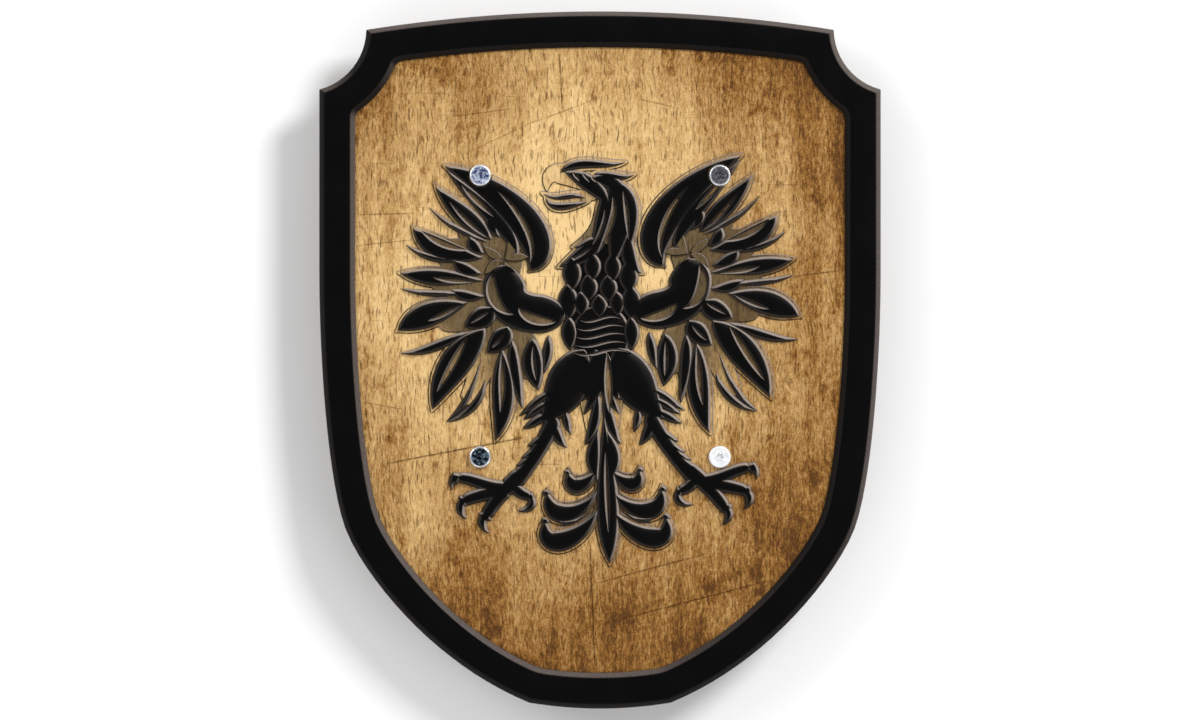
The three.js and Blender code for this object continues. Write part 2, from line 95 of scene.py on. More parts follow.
# ---- the outline of the shield ----
SCALLOP_CENTRE = (161.5, 180.5)
SCALLOP_RADIUS = 34.1
CROWN_RADIUS = 816
FOOT_CORNER = (38.6, -186.8)
FOOT_RADIUS = 234
SIDE_CURVES = (
    ((153, 48), (153, -0.4), (148.3, -64.6), (139, -91.4)),
    ((139, -91.4), (132.6, -109.8), (97, -162.7), FOOT_CORNER),
)
OUTLINE_STEPS = (16, 12, 46, 8)  # of crown, scallop, side and foot
CORNER_STEPS = 5

RIM_ROUNDING = 0.6
BOARD_ROUNDING = 3.6
ARRIS = 0.55  # width of the rounding along edges of the frame and the straps

# ---- fittings ----
SHANK_RADIUS = 2.5
BORE_RADIUS = 2.6
BOLT_HOLE_RADIUS = 2.75
HOLE_STEPS = 32
SEAT_RADIUS = 6.65
LOBE_STEPS = 36
RECESS_DEPTH = 1.6
BOLT_SPIN = 17  # degrees from one bolt's recess to the next

# ---- straps; the ends are measured from where the leather stops ----
STRAP_HALF_THICK = 1.5
RAMP_FROM_END = 26
RAMP_LENGTH = 26
RAMP_STEPS = 24
BOLT_FROM_END = 13
STITCHES_FROM_END = 5
STITCHES_FROM_EDGE = 3.4
STITCH_SIZE = (0.42, 1.65, 0.34)
STITCH_HEIGHT = 1.14
CHANNEL_DEPTH = 0.45
CHANNEL_HALF_WIDTH = 0.8
CROSS_CUTS_FROM_END = 24
CROSS_CUT_SPACING = 2.2

# ---- the eagle: every feather and limb is a stroke ----
# A stroke is a spine of four control points from root to tip, a greatest width, and where along the
# spine that width comes. A stroke with a pair of widths runs straight-sided from the first to the
# second. Wings, legs and tail are given for the left and mirrored.
EAGLE_TURN = 2  # degrees
BIG_FEATHERS = [
    ((-36, 50.5), (-21, 66), (-50, 95), (-80.5, 108.5), 18.5, 0.42),
    ((-57, 68), (-66, 78), (-76, 84), (-86, 97.4), 10.5, 0.45),
    ((-62, 58), (-82, 60), (-92, 66), (-99, 75.2), 11.5, 0.5),
    ((-62, 45.5), (-80, 48), (-92, 48), (-106.7, 51), 9, 0.55),
    ((-71, 34), (-82, 31), (-98, 28), (-109.2, 20.2), 13.5, 0.58),
    ((-62, 19.5), (-70, 10), (-84, 0), (-92, -23.3), 17, 0.52),
    ((-53, 7.5), (-54, -8), (-51, -24), (-58.3, -41.3), 12.2, 0.5),
]
SECOND_FEATHERS = [
    ((-43, 58), (-44, 72), (-60, 84), (-79.5, 106), 9, 0.5),
    ((-52, 69), (-58, 74), (-57, 78), (-57, 81), 6.6, 0.5),
    ((-61, 60.5), (-66, 62), (-68, 66), (-68.5, 70), 6.5, 0.5),
    ((-63, 49.5), (-70, 50), (-75, 53), (-77.5, 57.5), 7, 0.5),
    ((-61.5, 37), (-70, 36), (-75, 38), (-79.4, 41), 6, 0.5),
    ((-57, 31), (-60, 25), (-68, 24), (-72.8, 20.4), 12, 0.45),
    ((-49.5, 20), (-51, 15), (-56, 10), (-61.3, 6.2), 11.5, 0.45),
    ((-47.5, 12), (-47.5, -4), (-45, -14), (-43.2, -24.4), 6.5, 0.35),
    ((-36, 13), (-38, 0), (-36, -6), (-34.2, -15), 11.5, 0.42),
    ((-27.5, 14), (-28, 6), (-29, 0), (-31, -6), 5, 0.4),
]
THIN_FEATHERS = [
    ((-58, 66), (-74, 73), (-80, 76), (-90.3, 86.5), 4, 0.4),
    ((-68, 56.8), (-84, 56.5), (-94, 59), (-103.4, 66.5), 4.6, 0.5),
    ((-64, 39), (-84, 39), (-96, 39), (-107.2, 42.8), 4, 0.5),
    ((-70, 18), (-84, 13), (-94, 7), (-108.5, 7.6), 6, 0.45),
    ((-63.7, 6.2), (-68, -10), (-74, -24), (-84.8, -30.4), 4, 0.6),
    ((-62.9, -8), (-64, -18), (-72, -28), (-84.8, -30.8), 5, 0.5),
]
WING_ARM = [((-18, 27), (-46, 23), (-56, 34), (-48, 53), (20, 24))]
WING_GROOVES = [
    ((-36, 54.5), (-31, 68), (-44, 86), (-52, 93.5), 3.4, 0.45),
    ((-55, 80), (-62, 87), (-67, 92), (-72, 98), 3.6, 0.5),
    ((-58, 68.4), (-66, 74), (-72, 80), (-78.8, 89), 3, 0.5),
    ((-68.4, 62.2), (-80, 64), (-88, 68), (-95, 74), 4.5, 0.5),
    ((-63.5, 44.4), (-74, 46), (-82, 46), (-89, 48.2), 3.4, 0.5),
    ((-74.4, 33), (-80, 30), (-88, 26), (-93, 24.7), 3, 0.5),
    ((-71.2, 16), (-76, 8), (-84, -6), (-89.2, -14), 4.2, 0.5),
    ((-53, 6.2), (-54, -6), (-53, -16), (-55.3, -26.6), 4, 0.5),
    ((-23, 22), (-36, 21.5), (-42, 27), (-43, 30), 6, 0.4),
    ((-46, 26.4), (-56, 29), (-60, 40), (-56, 50), 7, 0.55),
    ((-59, 29), (-62, 27), (-66, 25), (-69.5, 22.5), 2, 0.5),
    ((-51, 17), (-53, 14), (-56, 11), (-58.5, 8.8), 2, 0.5),
    ((-36, 9), (-36.5, 2), (-36, -4), (-35, -10), 2.6, 0.5),
]
STAR_PETALS = [
    ((-50, 56), (-46, 60), (-44.5, 65), (-47, 71), 6, 0.5),
    ((-49.5, 56), (-45, 58), (-41, 58), (-36.8, 57), 5, 0.5),
    ((-50, 55.5), (-50, 51), (-46, 48), (-43, 43), 5.5, 0.5),
    ((-51, 56), (-55, 55), (-58, 53), (-61, 48.5), 5.5, 0.5),
    ((-51, 57), (-54, 58), (-58, 60), (-61, 64.5), 5.5, 0.5),
]
HEAD_AND_NECK = [
    ((-17.4, 103.3), (-8.1, 110.9), (5.6, 104.4), (16.9, 107.1), 5, 0.36),
    ((0.5, 101.6), (7.5, 101.2), (13.4, 97.6), (21.5, 100.1), 4.6, 0.45),
    ((-15.4, 103.2), (-5.5, 99.3), (2.3, 94), (8.9, 83.7), 9, 0.5),
    ((-2.5, 99.1), (6.5, 98.8), (12.4, 96.6), (18.1, 89.4), 8, 0.5),
    ((4.2, 91.9), (7.9, 81.8), (5.5, 71.9), (-2.8, 62.1), 10, 0.5),
    ((7.4, 96.8), (17.2, 91.5), (14.6, 73.5), (7.7, 49.8), 15, 0.45),
    ((11.4, 96.7), (23.1, 89.2), (18.6, 73.4), (19.2, 61.4), 9, 0.45),
    ((18.9, 69.4), (16.1, 59.5), (16.8, 51.4), (24.1, 46.7), 8.5, 0.5),
    ((6.4, 69.8), (-0.8, 62.1), (-7, 56.3), (-20.2, 51.7), 9.5, 0.5),
    ((-0.7, 67.1), (-3.8, 63.8), (-6.8, 62.3), (-11.8, 62.1), 4.4, 0.45),
    ((-5.4, 88.6), (-12.8, 92.5), (-19, 86.7), (-27.4, 91.4), 3.2, 0.45),
    ((-4.4, 86.2), (-15.1, 84.6), (-23.2, 81.9), (-26.3, 89), 4.2, 0.5),
]
BEAK = [
    ((1.2, 92), (-12.4, 103.5), (-27.2, 108), (-25.6, 92.5), 12, 0.42),
    ((5.1, 88.9), (-10.8, 92.4), (-22.2, 80.8), (-28, 91.8), 9, 0.45),
    ((1, 86), (5.7, 75.8), (0.3, 67), (-13.8, 62.9), 8, 0.42),
]
NECK_GROOVES = [
    ((10.1, 88.7), (12.3, 78.6), (6.4, 67.8), (0, 56.7), 3.6, 0.45),
    ((15.8, 91.5), (17.3, 83.4), (17.6, 75.4), (17.9, 65.4), 2.8, 0.5),
    ((5.5, 81.9), (5.6, 74.8), (2.4, 68), (-1.8, 63.1), 2.4, 0.5),
    ((-1.8, 62.1), (-6, 58.8), (-11, 56.4), (-17.2, 53), 2.2, 0.5),
]
FACE_CUTS = [
    ((-11.4, 102.7), (-10.1, 101.4), (-8.9, 99.8), (-7.6, 97.7), 2.2, 0.45),
    ((-6.2, 102.3), (-4.9, 100.8), (-3.5, 99), (-2.2, 96.9), 2, 0.45),
    ((-1.5, 100.5), (-0.5, 99.1), (0.4, 98), (1.8, 96.6), 1.8, 0.45),
]
LEG = [
    ((-8, 6), (-17, -8), (-20, -22), (-34, -33), 24, 0.42),
    ((-2, 6), (-1, -8), (-5, -18), (-10, -30), 14, 0.4),
    ((-25.5, -30), (-31, -43), (-40, -55), (-49.5, -67.5), (9.8, 8.4)),
]
LEG_BARBS = [
    ((-22, -14), (-32, -18), (-38, -24), (-45.4, -29.2), 5, 0.5),
    ((-24, -20), (-32, -23), (-38, -28), (-43, -31), 5, 0.5),
    ((-24, -26), (-34, -30), (-38, -34), (-43.5, -35.8), 5.5, 0.5),
    ((-27, -29), (-28, -36), (-24, -43), (-19.6, -47.2), 7, 0.45),
    ((-20, -25), (-20, -31), (-19, -36), (-17, -40), 5, 0.45),
    ((-27.5, -36), (-33, -41), (-37, -45), (-41.5, -45.4), 5, 0.5),
    ((-30.5, -42), (-36, -47), (-40, -51), (-45, -51.6), 5, 0.5),
    ((-34.5, -47), (-39, -52), (-43, -55), (-48, -56), 5, 0.5),
    ((-38.5, -52), (-43, -57), (-47, -60), (-51.5, -60.8), 5, 0.5),
    ((-42, -57), (-46, -61), (-50, -64), (-55, -65), 5, 0.5),
]
TOES = [
    ((-48, -67), (-60, -71), (-70, -61), (-80, -61.5), (9, 6.4)),
    ((-50, -68), (-60, -70), (-70, -71), (-78, -74.5), (9.4, 7)),
    ((-52, -68), (-58, -72), (-62, -78), (-66, -84), (9, 7.6)),
    ((-50, -66), (-46, -72), (-43, -72), (-40, -73), (8, 5.6)),
    ((-78, -61), (-82, -60), (-84, -64), (-83, -68), 5.4, 0.3),
    ((-77, -74), (-80, -77), (-79, -82), (-75.4, -83.8), 5.6, 0.3),
    ((-65, -83), (-69, -85), (-67, -90), (-63.4, -92.2), 5.6, 0.3),
    ((-41, -71), (-37, -78), (-42, -81), (-48.4, -80.2), 5.2, 0.4),
]
TOE_JOINTS = [
    ((-79, -61.3), (-80.4, -61.5), (-82, -61.8), (-83.4, -62.2), (9, 8.2)),
    ((-75.6, -73.4), (-77, -74), (-78.2, -74.6), (-79.4, -75.2), (9.8, 9)),
    ((-64.4, -81), (-65.2, -82.4), (-66.2, -84), (-66.8, -85.4), (9.8, 9)),
    ((-42, -72.8), (-40.8, -73.2), (-39.8, -73.4), (-38.6, -73.8), (8.2, 7.6)),
    ((-44.1, -58.5), (-48.2, -63.4), (-51.3, -66.2), (-54.5, -69.6), (9, 11)),
]
TAIL_MIDDLE = [((1.4, -26), (1.4, -60), (1.4, -90), (1.4, -110.5), 12, 0.6)]
TAIL_SIDE = [
    ((-1.5, -16), (-3, -29.9), (-4.3, -37.9), (-9.6, -45.7), 6, 0.5),
    ((-2.3, -37.9), (-5.7, -49.8), (-7, -55.8), (-3.3, -65.9), 7.5, 0.5),
    ((-2.6, -57.9), (-9.4, -68.7), (-19.5, -72.4), (-19.3, -60), 8.6, 0.6),
    ((-3.4, -69.9), (-12, -85.6), (-32.1, -88.9), (-31.1, -70.6), 10.4, 0.6),
    ((-3.8, -80.9), (-12.4, -98.6), (-37.7, -105.7), (-32.6, -85.9), 11.4, 0.56),
    ((-11.9, -84.2), (-17.1, -88.5), (-23.1, -89.2), (-28, -85.1), 3, 0.5),
    ((-19.8, -61.7), (-19.9, -61.1), (-19.7, -60.3), (-18.9, -59.6), (5, 4.6)),
    ((-31.4, -72.9), (-31.7, -71.9), (-31.7, -70.9), (-30.9, -70), (5.4, 4.8)),
    ((-32.7, -88.3), (-33.1, -87.3), (-32.8, -86.1), (-32, -85.1), (5.4, 4.8)),
]
BODY_GROOVES = [
    ((1.4, -50), (1.4, -62), (1.4, -80), (1.4, -94), 3, 0.5),
    ((4.2, 4), (4.2, -8), (4.2, -20), (4.2, -29), 4.6, 0.5),
]
THIGH_GROOVES = [((-6.4, -19.6), (-13, -26), (-17, -36), (-13, -47), 7.5, 0.5)]
BREAST_SCALES = [  # x, y of the tip, length and width
    (-2.4, 43, 16, 10.2), (8.6, 42, 16, 10.2), (-13.6, 38, 19, 11), (-4.8, 32.2, 15, 10.8),
    (5.9, 31.4, 15, 10.8), (17, 35.6, 18, 11.4), (-16.2, 22.4, 20, 11.6), (18, 21.4, 19, 11.6),
    (-9.2, 24, 14, 9.4), (0.5, 23, 13, 10), (10.4, 23.4, 14, 9.4), (-16.2, 5.6, 19, 9.4),
    (17.6, 4.6, 19, 9.4),
]
BELLY = ((1, 30), (1, 20), (1, 9), (1, -4), (31, 33))
BELLY_ROWS = [(22.5, 12), (18, 14), (13.5, 15), (9, 15), (4.5, 15)]  # height and half length
BODY_GROUND = ((1, 64), (1, 44), (1, 20), (1, 0), (38, 34))
GROUND_FILL = [
    ((-54, 62), (-61, 72), (-68, 81), (-75, 90), (34, 9)),
    ((-58, 52), (-68, 57), (-78, 60), (-87, 64), (32, 8)),
    ((-60, 44), (-71, 45), (-81, 46), (-91, 48), (28, 9)),
    ((-60, 32), (-70, 30), (-80, 27), (-89, 24), (28, 10)),
    ((-50, 67), (-57, 54), (-58, 38), (-48, 22), (26, 20)),
    ((-62, 34), (-60, 24), (-54, 16), (-40, 12), (20, 12)),
    ((1, 0), (1, -14), (1, -26), (1, -44), (26, 12)),
    ((-58, 18), (-62, 4), (-66, -8), (-74, -21), (16, 6)),
    ((-50, 16), (-50, 4), (-49, -8), (-50, -20), (16, 10)),
    ((-44, 18), (-42, 6), (-38, -2), (-33, -6), (14, 14)),
]

# ---- stage, in metres ----
CAMERA_HEIGHT = 3.0
VIEW_WIDTH = 1.7192  # how wide the view is for each length of the shield
LIGHTS = (  # name, place, width and power
    ("key", (1.5, 1.5, 2.0), 0.9, 60),
    ("fill_left", (-1.9, 1.1, 1.8), 1.6, 22),
    ("fill_right", (1.7, -1.3, 1.8), 1.6, 11),
    ("fill_front", (-1.1, -1.9, 1.8), 1.6, 8),
)

# ---- splits and scratches in the board: from, to, width and strength ----
BOARD_MARKS = [
    ((-22.3, 168), (-20.6, 136), 0.8, 1),
    ((-6.1, 137), (-5.5, 124), 0.7, 0.9),
    ((-5.7, -98), (-2.6, -169.5), 0.8, 1),
    ((-83, -46), (-81, -75), 0.6, 0.8),
    ((76.5, -112), (77, -131), 0.6, 0.7),
    ((-118.5, -57), (-38, -41.6), 0.9, 0.9),
    ((-130, -23), (-107, -27), 0.7, 0.6),
    ((-133, 79), (-101, 80), 0.8, 0.6),
    ((-134, 62), (-98, 66), 0.7, 0.5),
    ((-2.6, -122), (60, -105), 0.9, 0.75),
    ((-2, -145), (95, -119.5), 0.8, 0.85),
    ((103.6, 45), (132, 49), 0.8, 0.7),
    ((-72, 113), (-28, 134), 0.6, 0.45),
    ((-85, 132), (-48, 137), 0.7, 0.5),
    ((-40, 128), (-3, 142), 0.7, 0.5),
    ((22, 142), (44, 137), 0.7, 0.6),
]

PAINTED_SHADE_SPOTS = [  # painted shade in the hollows of the emblem: centre, full within, none beyond
    ((-62, 42), 30, 50), ((62, 42), 30, 50), ((0, 28), 24, 34), ((0, 70), 10, 26),
    ((-44, 4), 12, 34), ((44, 4), 12, 34), ((0, -70), 16, 34),
]

HIGHLIT_SIDE = (0.64, 0.77, 0)  # the way that the slopes with the painted highlight face
TIMBER, LACQUER, HOLLOW = 0, 1, 2  # material places of the emblem


def length_property(name, description, default, least, most):
    """A length that the user may change, given here in millimetres."""
    return FloatProperty(name=name, description=description, default=default * MM,
                         min=least * MM, max=most * MM, unit="LENGTH", subtype="DISTANCE")


def colour_property(name, description, *default):
    return FloatVectorProperty(name=name, description=description, subtype="COLOR", size=4,
                               min=0, max=1, default=(*default, 1))


class ShieldSizes(bpy.types.PropertyGroup):
    """Sizes of the finished pieces"""

    rim_width: length_property(
        "Rim Width", "Width of the frame seen from the front", 19.6, 5, 40)
    rim_chamfer: length_property(
        "Rim Chamfer", "Width of the sloped edges of the frame", 2.7, 0.5, 4)
    rim_lap: length_property(
        "Rim Lap", "How far the frame laps over the board", 4, 1, 8)
    opening_rounding: length_property(
        "Opening Rounding", "Rounding of the corners of the frame's opening", 4, 1, 8)
    relief_height: length_property(
        "Relief Height", "Height of the eagle above the board", 3.3, 1, 4)
    relief_slope: length_property(
        "Relief Slope", "Width of the rounded edge of every feather", 1.85, 0.3, 3)
    ground_height: length_property(
        "Ground Height", "Thickness of the ground that carries the eagle", 1, 0.3, 2)
    ground_margin: length_property(
        "Ground Margin", "How far the ground shows round the feathers", 1.7, 0, 4)
    feather_step: length_property(
        "Feather Step", "Length of one facet along a feather", 1.5, 0.5, 5)
    strap_corner: length_property(
        "Strap Corner", "Rounding of the corners of the straps", 5, 0, 12)
    stitch_pitch: length_property(
        "Stitch Pitch", "Distance from one stitch to the next", 4.4, 2, 10)
    turned_steps: IntProperty(
        name="Turned Steps", description="Facets round bolts and washers",
        default=48, min=12, max=96)


class ShieldColours(bpy.types.PropertyGroup):
    """Colours of the finishes"""

    timber_pale: colour_property(
        "Timber Pale", "Lightest tone of the board", 0.76, 0.53, 0.245)
    timber_tan: colour_property(
        "Timber Tan", "Common tone of the board", 0.53, 0.33, 0.13)
    timber_brown: colour_property(
        "Timber Brown", "Aged tone of the board", 0.24, 0.105, 0.019)
    timber_dark: colour_property(
        "Timber Dark", "Stains, pores and cracks", 0.085, 0.032, 0.006)
    # painted shade: the colour that the ground between the feathers darkens to
    hollow: colour_property(
        "Hollow", "Dark ground between the feathers", 0.04, 0.028, 0.014)
    lacquer: colour_property(
        "Lacquer", "Black lacquer", 0.0007, 0.0007, 0.0007)
    # painted highlight: the colour of the eagle's slopes that face up and right, and a faint tint
    # on its other slopes
    lacquer_highlight: colour_property(
        "Lacquer Edge", "Lacquer rubbed thin on the slopes of the eagle", 0.34, 0.285, 0.25)
    # painted highlight: the colour of the frame's slopes that face up and right, and a faint tint
    # on its other slopes
    rim_highlight: colour_property(
        "Rim Edge", "Lacquer rubbed thin on the sloped edges of the frame", 0.11, 0.09, 0.082)
    leather: colour_property(
        "Leather", "Brown leather of the straps", 0.105, 0.042, 0.016)
    thread: colour_property(
        "Thread", "Waxed thread of the straps", 0.45, 0.33, 0.19)
    floor: colour_property(
        "Floor", "Pale studio floor", 0.9, 0.9, 0.9)


# ---- mesh helpers, all in millimetres ----
def formed_grid(bm, across, along, place):
    """A grid whose corners go where place(column, row) says, with what meets welded."""
    made = bmesh.ops.create_grid(bm, x_segments=across, y_segments=along, size=1)
    for vert in made["verts"]:
        column = round((vert.co.x + 1) / 2 * across)
        row = round((vert.co.y + 1) / 2 * along)
        vert.co = place(column, row)
    bmesh.ops.remove_doubles(bm, verts=bm.verts, dist=0.001)


def turned(profile, steps):
    """A solid of revolution about the Z axis, from an open profile of (radius, z)."""
    bm = bmesh.new()
    verts = [bm.verts.new((radius, 0, z)) for radius, z in profile]
    edges = [bm.edges.new(pair) for pair in zip(verts, verts[1:])]
    if min(radius for radius, _ in profile) > 0:
        edges.append(bm.edges.new((verts[-1], verts[0])))
    bmesh.ops.spin(bm, geom=verts + edges, cent=(0, 0, 0), axis=(0, 0, 1), dvec=(0, 0, 0),
                   angle=2 * math.pi, steps=steps, use_merge=True, use_duplicate=False)
    bmesh.ops.remove_doubles(bm, verts=bm.verts, dist=0.001)
    bmesh.ops.recalc_face_normals(bm, faces=bm.faces)
    return bm


def peg(radius, bottom, top, steps):
    """A plain round peg on the Z axis, for cutting a hole or a seat."""
    return turned([(0, bottom), (radius, bottom), (radius, top), (0, top)], steps)


def placed(bm, x, y, z=0.0):
    bmesh.ops.translate(bm, verts=bm.verts, vec=(x, y, z))
    return bm


def spun(bm, degrees):
    bmesh.ops.rotate(bm, verts=bm.verts, cent=(0, 0, 0),
                     matrix=Matrix.Rotation(math.radians(degrees), 3, "Z"))
    return bm


def raised(bm, height):
    """A closed slab of that height, from a bmesh that holds only its flat lower face."""
    made = bmesh.ops.extrude_face_region(bm, geom=bm.faces[:], use_keep_orig=True)
    tops = [item for item in made["geom"] if isinstance(item, bmesh.types.BMVert)]
    bmesh.ops.translate(bm, verts=tops, vec=(0, 0, height))
    bmesh.ops.recalc_face_normals(bm, faces=bm.faces)
    return bm


def mesh_of(bm, name, materials=()):
    mesh = bpy.data.meshes.new(name)
    bm.to_mesh(mesh)
    bm.free()
    for material in materials:
        mesh.materials.append(material)
    return mesh


def carved(base, operation, tools, materials=()):
    """The solid base joined with, or cut by, every tool at once."""
    scene = bpy.context.scene
    target = bpy.data.objects.new("carving", mesh_of(base, "carving", materials))
    scene.collection.objects.link(target)
    bench = bpy.data.collections.new("carving_tools")
    scene.collection.children.link(bench)
    for tool in tools:
        bench.objects.link(bpy.data.objects.new("tool", mesh_of(tool, "tool", materials)))
    modifier = target.modifiers.new("carve", "BOOLEAN")
    modifier.operation = operation
    modifier.operand_type = "COLLECTION"
    modifier.collection = bench
    modifier.solver = "MANIFOLD"
    shaped = target.evaluated_get(bpy.context.evaluated_depsgraph_get())
    result = bmesh.new()
    result.from_mesh(shaped.to_mesh())
    shaped.to_mesh_clear()
    for spent in [*bench.objects, target]:
        mesh = spent.data
        bpy.data.objects.remove(spent)
        bpy.data.meshes.remove(mesh)
    bpy.data.collections.remove(bench)
    if not result.faces:
        raise RuntimeError("carving left nothing")
    return result


def finished(bm, name, nodes, materials, sharp_angle=32):
    """The piece as an object in metres, smooth but for its sharp edges, riding on the shield."""
    bmesh.ops.scale(bm, verts=bm.verts, vec=(MM, MM, MM))
    piece = bpy.data.objects.new(name, mesh_of(bm, name, materials))
    piece.data.shade_smooth()
    piece.data.set_sharp_from_angle(angle=math.radians(sharp_angle))
    bpy.context.scene.collection.objects.link(piece)
    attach(piece, "root")
    if nodes:
        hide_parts(*nodes)
    return piece


def bevelled(bm, edges, width, segments):
    bmesh.ops.bevel(bm, geom=edges, offset=width, offset_type="OFFSET", affect="EDGES",
                    segments=segments, profile=0.5, material=-1, clamp_overlap=True)


# ---- the outline ----
def curve_point(controls, t):
    p0, p1, p2, p3 = (Vector(control) for control in controls)
    s = 1 - t
    return p0 * s ** 3 + p1 * (3 * s * s * t) + p2 * (3 * s * t * t) + p3 * t ** 3


def curve_direction(controls, t):
    p0, p1, p2, p3 = (Vector(control) for control in controls)
    s = 1 - t
    return ((p1 - p0) * (s * s) + (p2 - p1) * (2 * s * t) + (p3 - p2) * (t * t)).normalized()


def side_point(t, inset):
    """A point of the curved side drawn in square to it; t runs from 0 at the top to 2."""
    controls = SIDE_CURVES[0 if t < 1 else 1]
    local = t if t < 1 else t - 1
    along = curve_direction(controls, local)
    return curve_point(controls, local) + Vector((along.y, -along.x)) * inset


def arc(centre, start, end, steps=40):
    first, last = start - centre, end - centre
    sweep = first.angle_signed(last)
    return [centre + Matrix.Rotation(-sweep * i / steps, 2) @ first for i in range(steps + 1)]


def outline_curves(inset):
    """Crown, scallop, side and foot of the right half, from the top centre to the foot centre."""
    crown = Vector((0, HALF_HEIGHT - CROWN_RADIUS))
    scallop = Vector(SCALLOP_CENTRE)
    foot = Vector((0, FOOT_RADIUS - HALF_HEIGHT))
    meetings = geometry.intersect_sphere_sphere_2d(
        crown, CROWN_RADIUS - inset, scallop, SCALLOP_RADIUS + inset)
    top_corner = min(meetings, key=lambda point: point.x)
    side_x = HALF_WIDTH - inset
    drop = math.sqrt((SCALLOP_RADIUS + inset) ** 2 - (scallop.x - side_x) ** 2)
    low, high = 1.0, 2.0
    for _ in range(40):
        middle = (low + high) / 2
        within = (side_point(middle, inset) - foot).length < FOOT_RADIUS - inset
        low, high = (middle, high) if within else (low, middle)
    side = [Vector((side_x, scallop.y - drop))]
    side += [side_point(low * i / 90, inset) for i in range(91)]
    return [
        arc(crown, Vector((0, HALF_HEIGHT - inset)), top_corner),
        arc(scallop, top_corner, side[0]),
        side,
        arc(foot, side[-1], Vector((0, inset - HALF_HEIGHT))),
    ]


def evenly(line, start, stop, steps):
    """Points evenly along a line, from start after its beginning to stop before its end."""
    lengths = [0.0]
    for first, second in zip(line, line[1:]):
        lengths.append(lengths[-1] + (second - first).length)
    points = []
    for i in range(steps + 1):
        target = start + (lengths[-1] - start - stop) * i / steps
        k = next(k for k in range(1, len(lengths)) if lengths[k] >= target - 1e-6)
        share = (target - lengths[k - 1]) / max(lengths[k] - lengths[k - 1], 1e-9)
        points.append(line[k - 1].lerp(line[k], share))
    return points


def shield_outline(inset, rounding):
    """The whole outline drawn in by inset, its corners rounded, with as many points each time."""
    curves = outline_curves(inset)
    half = []
    for number, (curve, steps) in enumerate(zip(curves, OUTLINE_STEPS)):
        start = rounding if number else 0
        stop = rounding if number < 3 else 0
        points = evenly(curve, start, stop, steps)
        if half:
            before, corner, after = half[-1], curve[0], points[0]
            for i in range(1, CORNER_STEPS):
                t = i / CORNER_STEPS
                half.append(before.lerp(corner, t).lerp(corner.lerp(after, t), t))
        half += points
    return half + [Vector((-point.x, point.y)) for point in reversed(half[1:-1])]


# ---- strokes ----
def mirrored(strokes):
    return [tuple((-x, y) for x, y in stroke[:4]) + tuple(stroke[4:]) for stroke in strokes]


def both_sides(strokes):
    return strokes + mirrored(strokes)


def stroke_half_width(stroke, t, length):
    if len(stroke) == 6:
        skew = math.log(0.5) / math.log(stroke[5])
        return stroke[4] / 2 * max(math.sin(math.pi * t ** skew), 0) ** 0.72
    first, last = stroke[4]
    half = (first + (last - first) * t) / 2
    reach = min(min(t, 1 - t) * length / half, 1)
    return half * math.sqrt(1 - (1 - reach) ** 2)


def stroke_solid(stroke, edge_z, middle_z, closing_z, slope, step, margin=0.0, flat=LACQUER):
    """A stroke as a solid: a rounded edge from edge_z to a flat middle, closed flat at closing_z.

    The flat middle takes the material place flat.
    """
    spine = stroke[:4]
    length = sum((curve_point(spine, (i + 1) / 12) - curve_point(spine, i / 12)).length
                 for i in range(12))
    overrun = margin * (1.5 if len(stroke) == 6 else 1)
    whole = length + 2 * overrun
    body = min(max(round(length / step), 4), 44)
    ends = [end * min(1, whole / 5) for end in (0, 0.3, 0.8, 1.5)]
    rows = ends + [ends[-1] + (whole - 2 * ends[-1]) * i / body for i in range(1, body)]
    rows += [whole - end for end in reversed(ends)]
    along = len(rows) - 1
    columns = 10

    def place(column, row):
        reached = rows[row] - overrun
        t = min(max(reached / length, 0), 1)
        beyond = reached - t * length
        direction = curve_direction(spine, t)
        middle = curve_point(spine, t) + direction * beyond
        half = stroke_half_width(stroke, t, length) + margin
        if margin and abs(beyond) > 1e-4:
            half = margin * math.sqrt(max(1 - (abs(beyond) / overrun) ** 1.5, 0))
        if row in (0, along):
            half = 0
        shoulder = min(slope, 0.8 * half)
        rank = min(column, columns - column)
        inward = half if rank == 5 else shoulder * rank / 4
        side = 1 if column < 5 else -1
        rise = math.sin(math.pi / 2 * min(inward / slope, 1))
        point = middle + Vector((-direction.y, direction.x)) * (side * (half - inward))
        return (point.x, point.y, edge_z + (middle_z - edge_z) * rise)

    bm = bmesh.new()
    formed_grid(bm, columns, along, place)
    rims = [edge for edge in bm.edges if edge.is_boundary]
    walls = bmesh.ops.extrude_edge_only(bm, edges=rims)
    closing = [item for item in walls["geom"] if isinstance(item, bmesh.types.BMVert)]
    for vert in closing:
        vert.co.z = closing_z
    bmesh.ops.holes_fill(bm, edges=[edge for edge in bm.edges if edge.is_boundary], sides=0)
    bmesh.ops.recalc_face_normals(bm, faces=bm.faces)
    for face in bm.faces:
        level = abs(face.calc_center_median().z - middle_z) < 0.02
        face.material_index = flat if level and abs(face.normal.z) > 0.98 else LACQUER
    return bm


def stroke_solids(strokes, *shape):
    return [stroke_solid(stroke, *shape) for stroke in strokes]


# ---- shader helpers ----
def add_node(tree, kind, feeds=None, **settings):
    made = tree.nodes.new(kind)
    for name, value in settings.items():
        setattr(made, name, value)
    for socket, value in (feeds or {}).items():
        if isinstance(value, bpy.types.NodeSocket):
            tree.links.new(value, made.inputs[socket])
        else:
            made.inputs[socket].default_value = value
    return made


def maths(tree, operation, first, second=0.0, clamp=False):
    return add_node(tree, "ShaderNodeMath", {0: first, 1: second},
                    operation=operation, use_clamp=clamp).outputs[0]


def vector_maths(tree, operation, first, second=(0, 0, 0), out=0):
    return add_node(tree, "ShaderNodeVectorMath", {0: first, 1: second},
                    operation=operation).outputs[out]


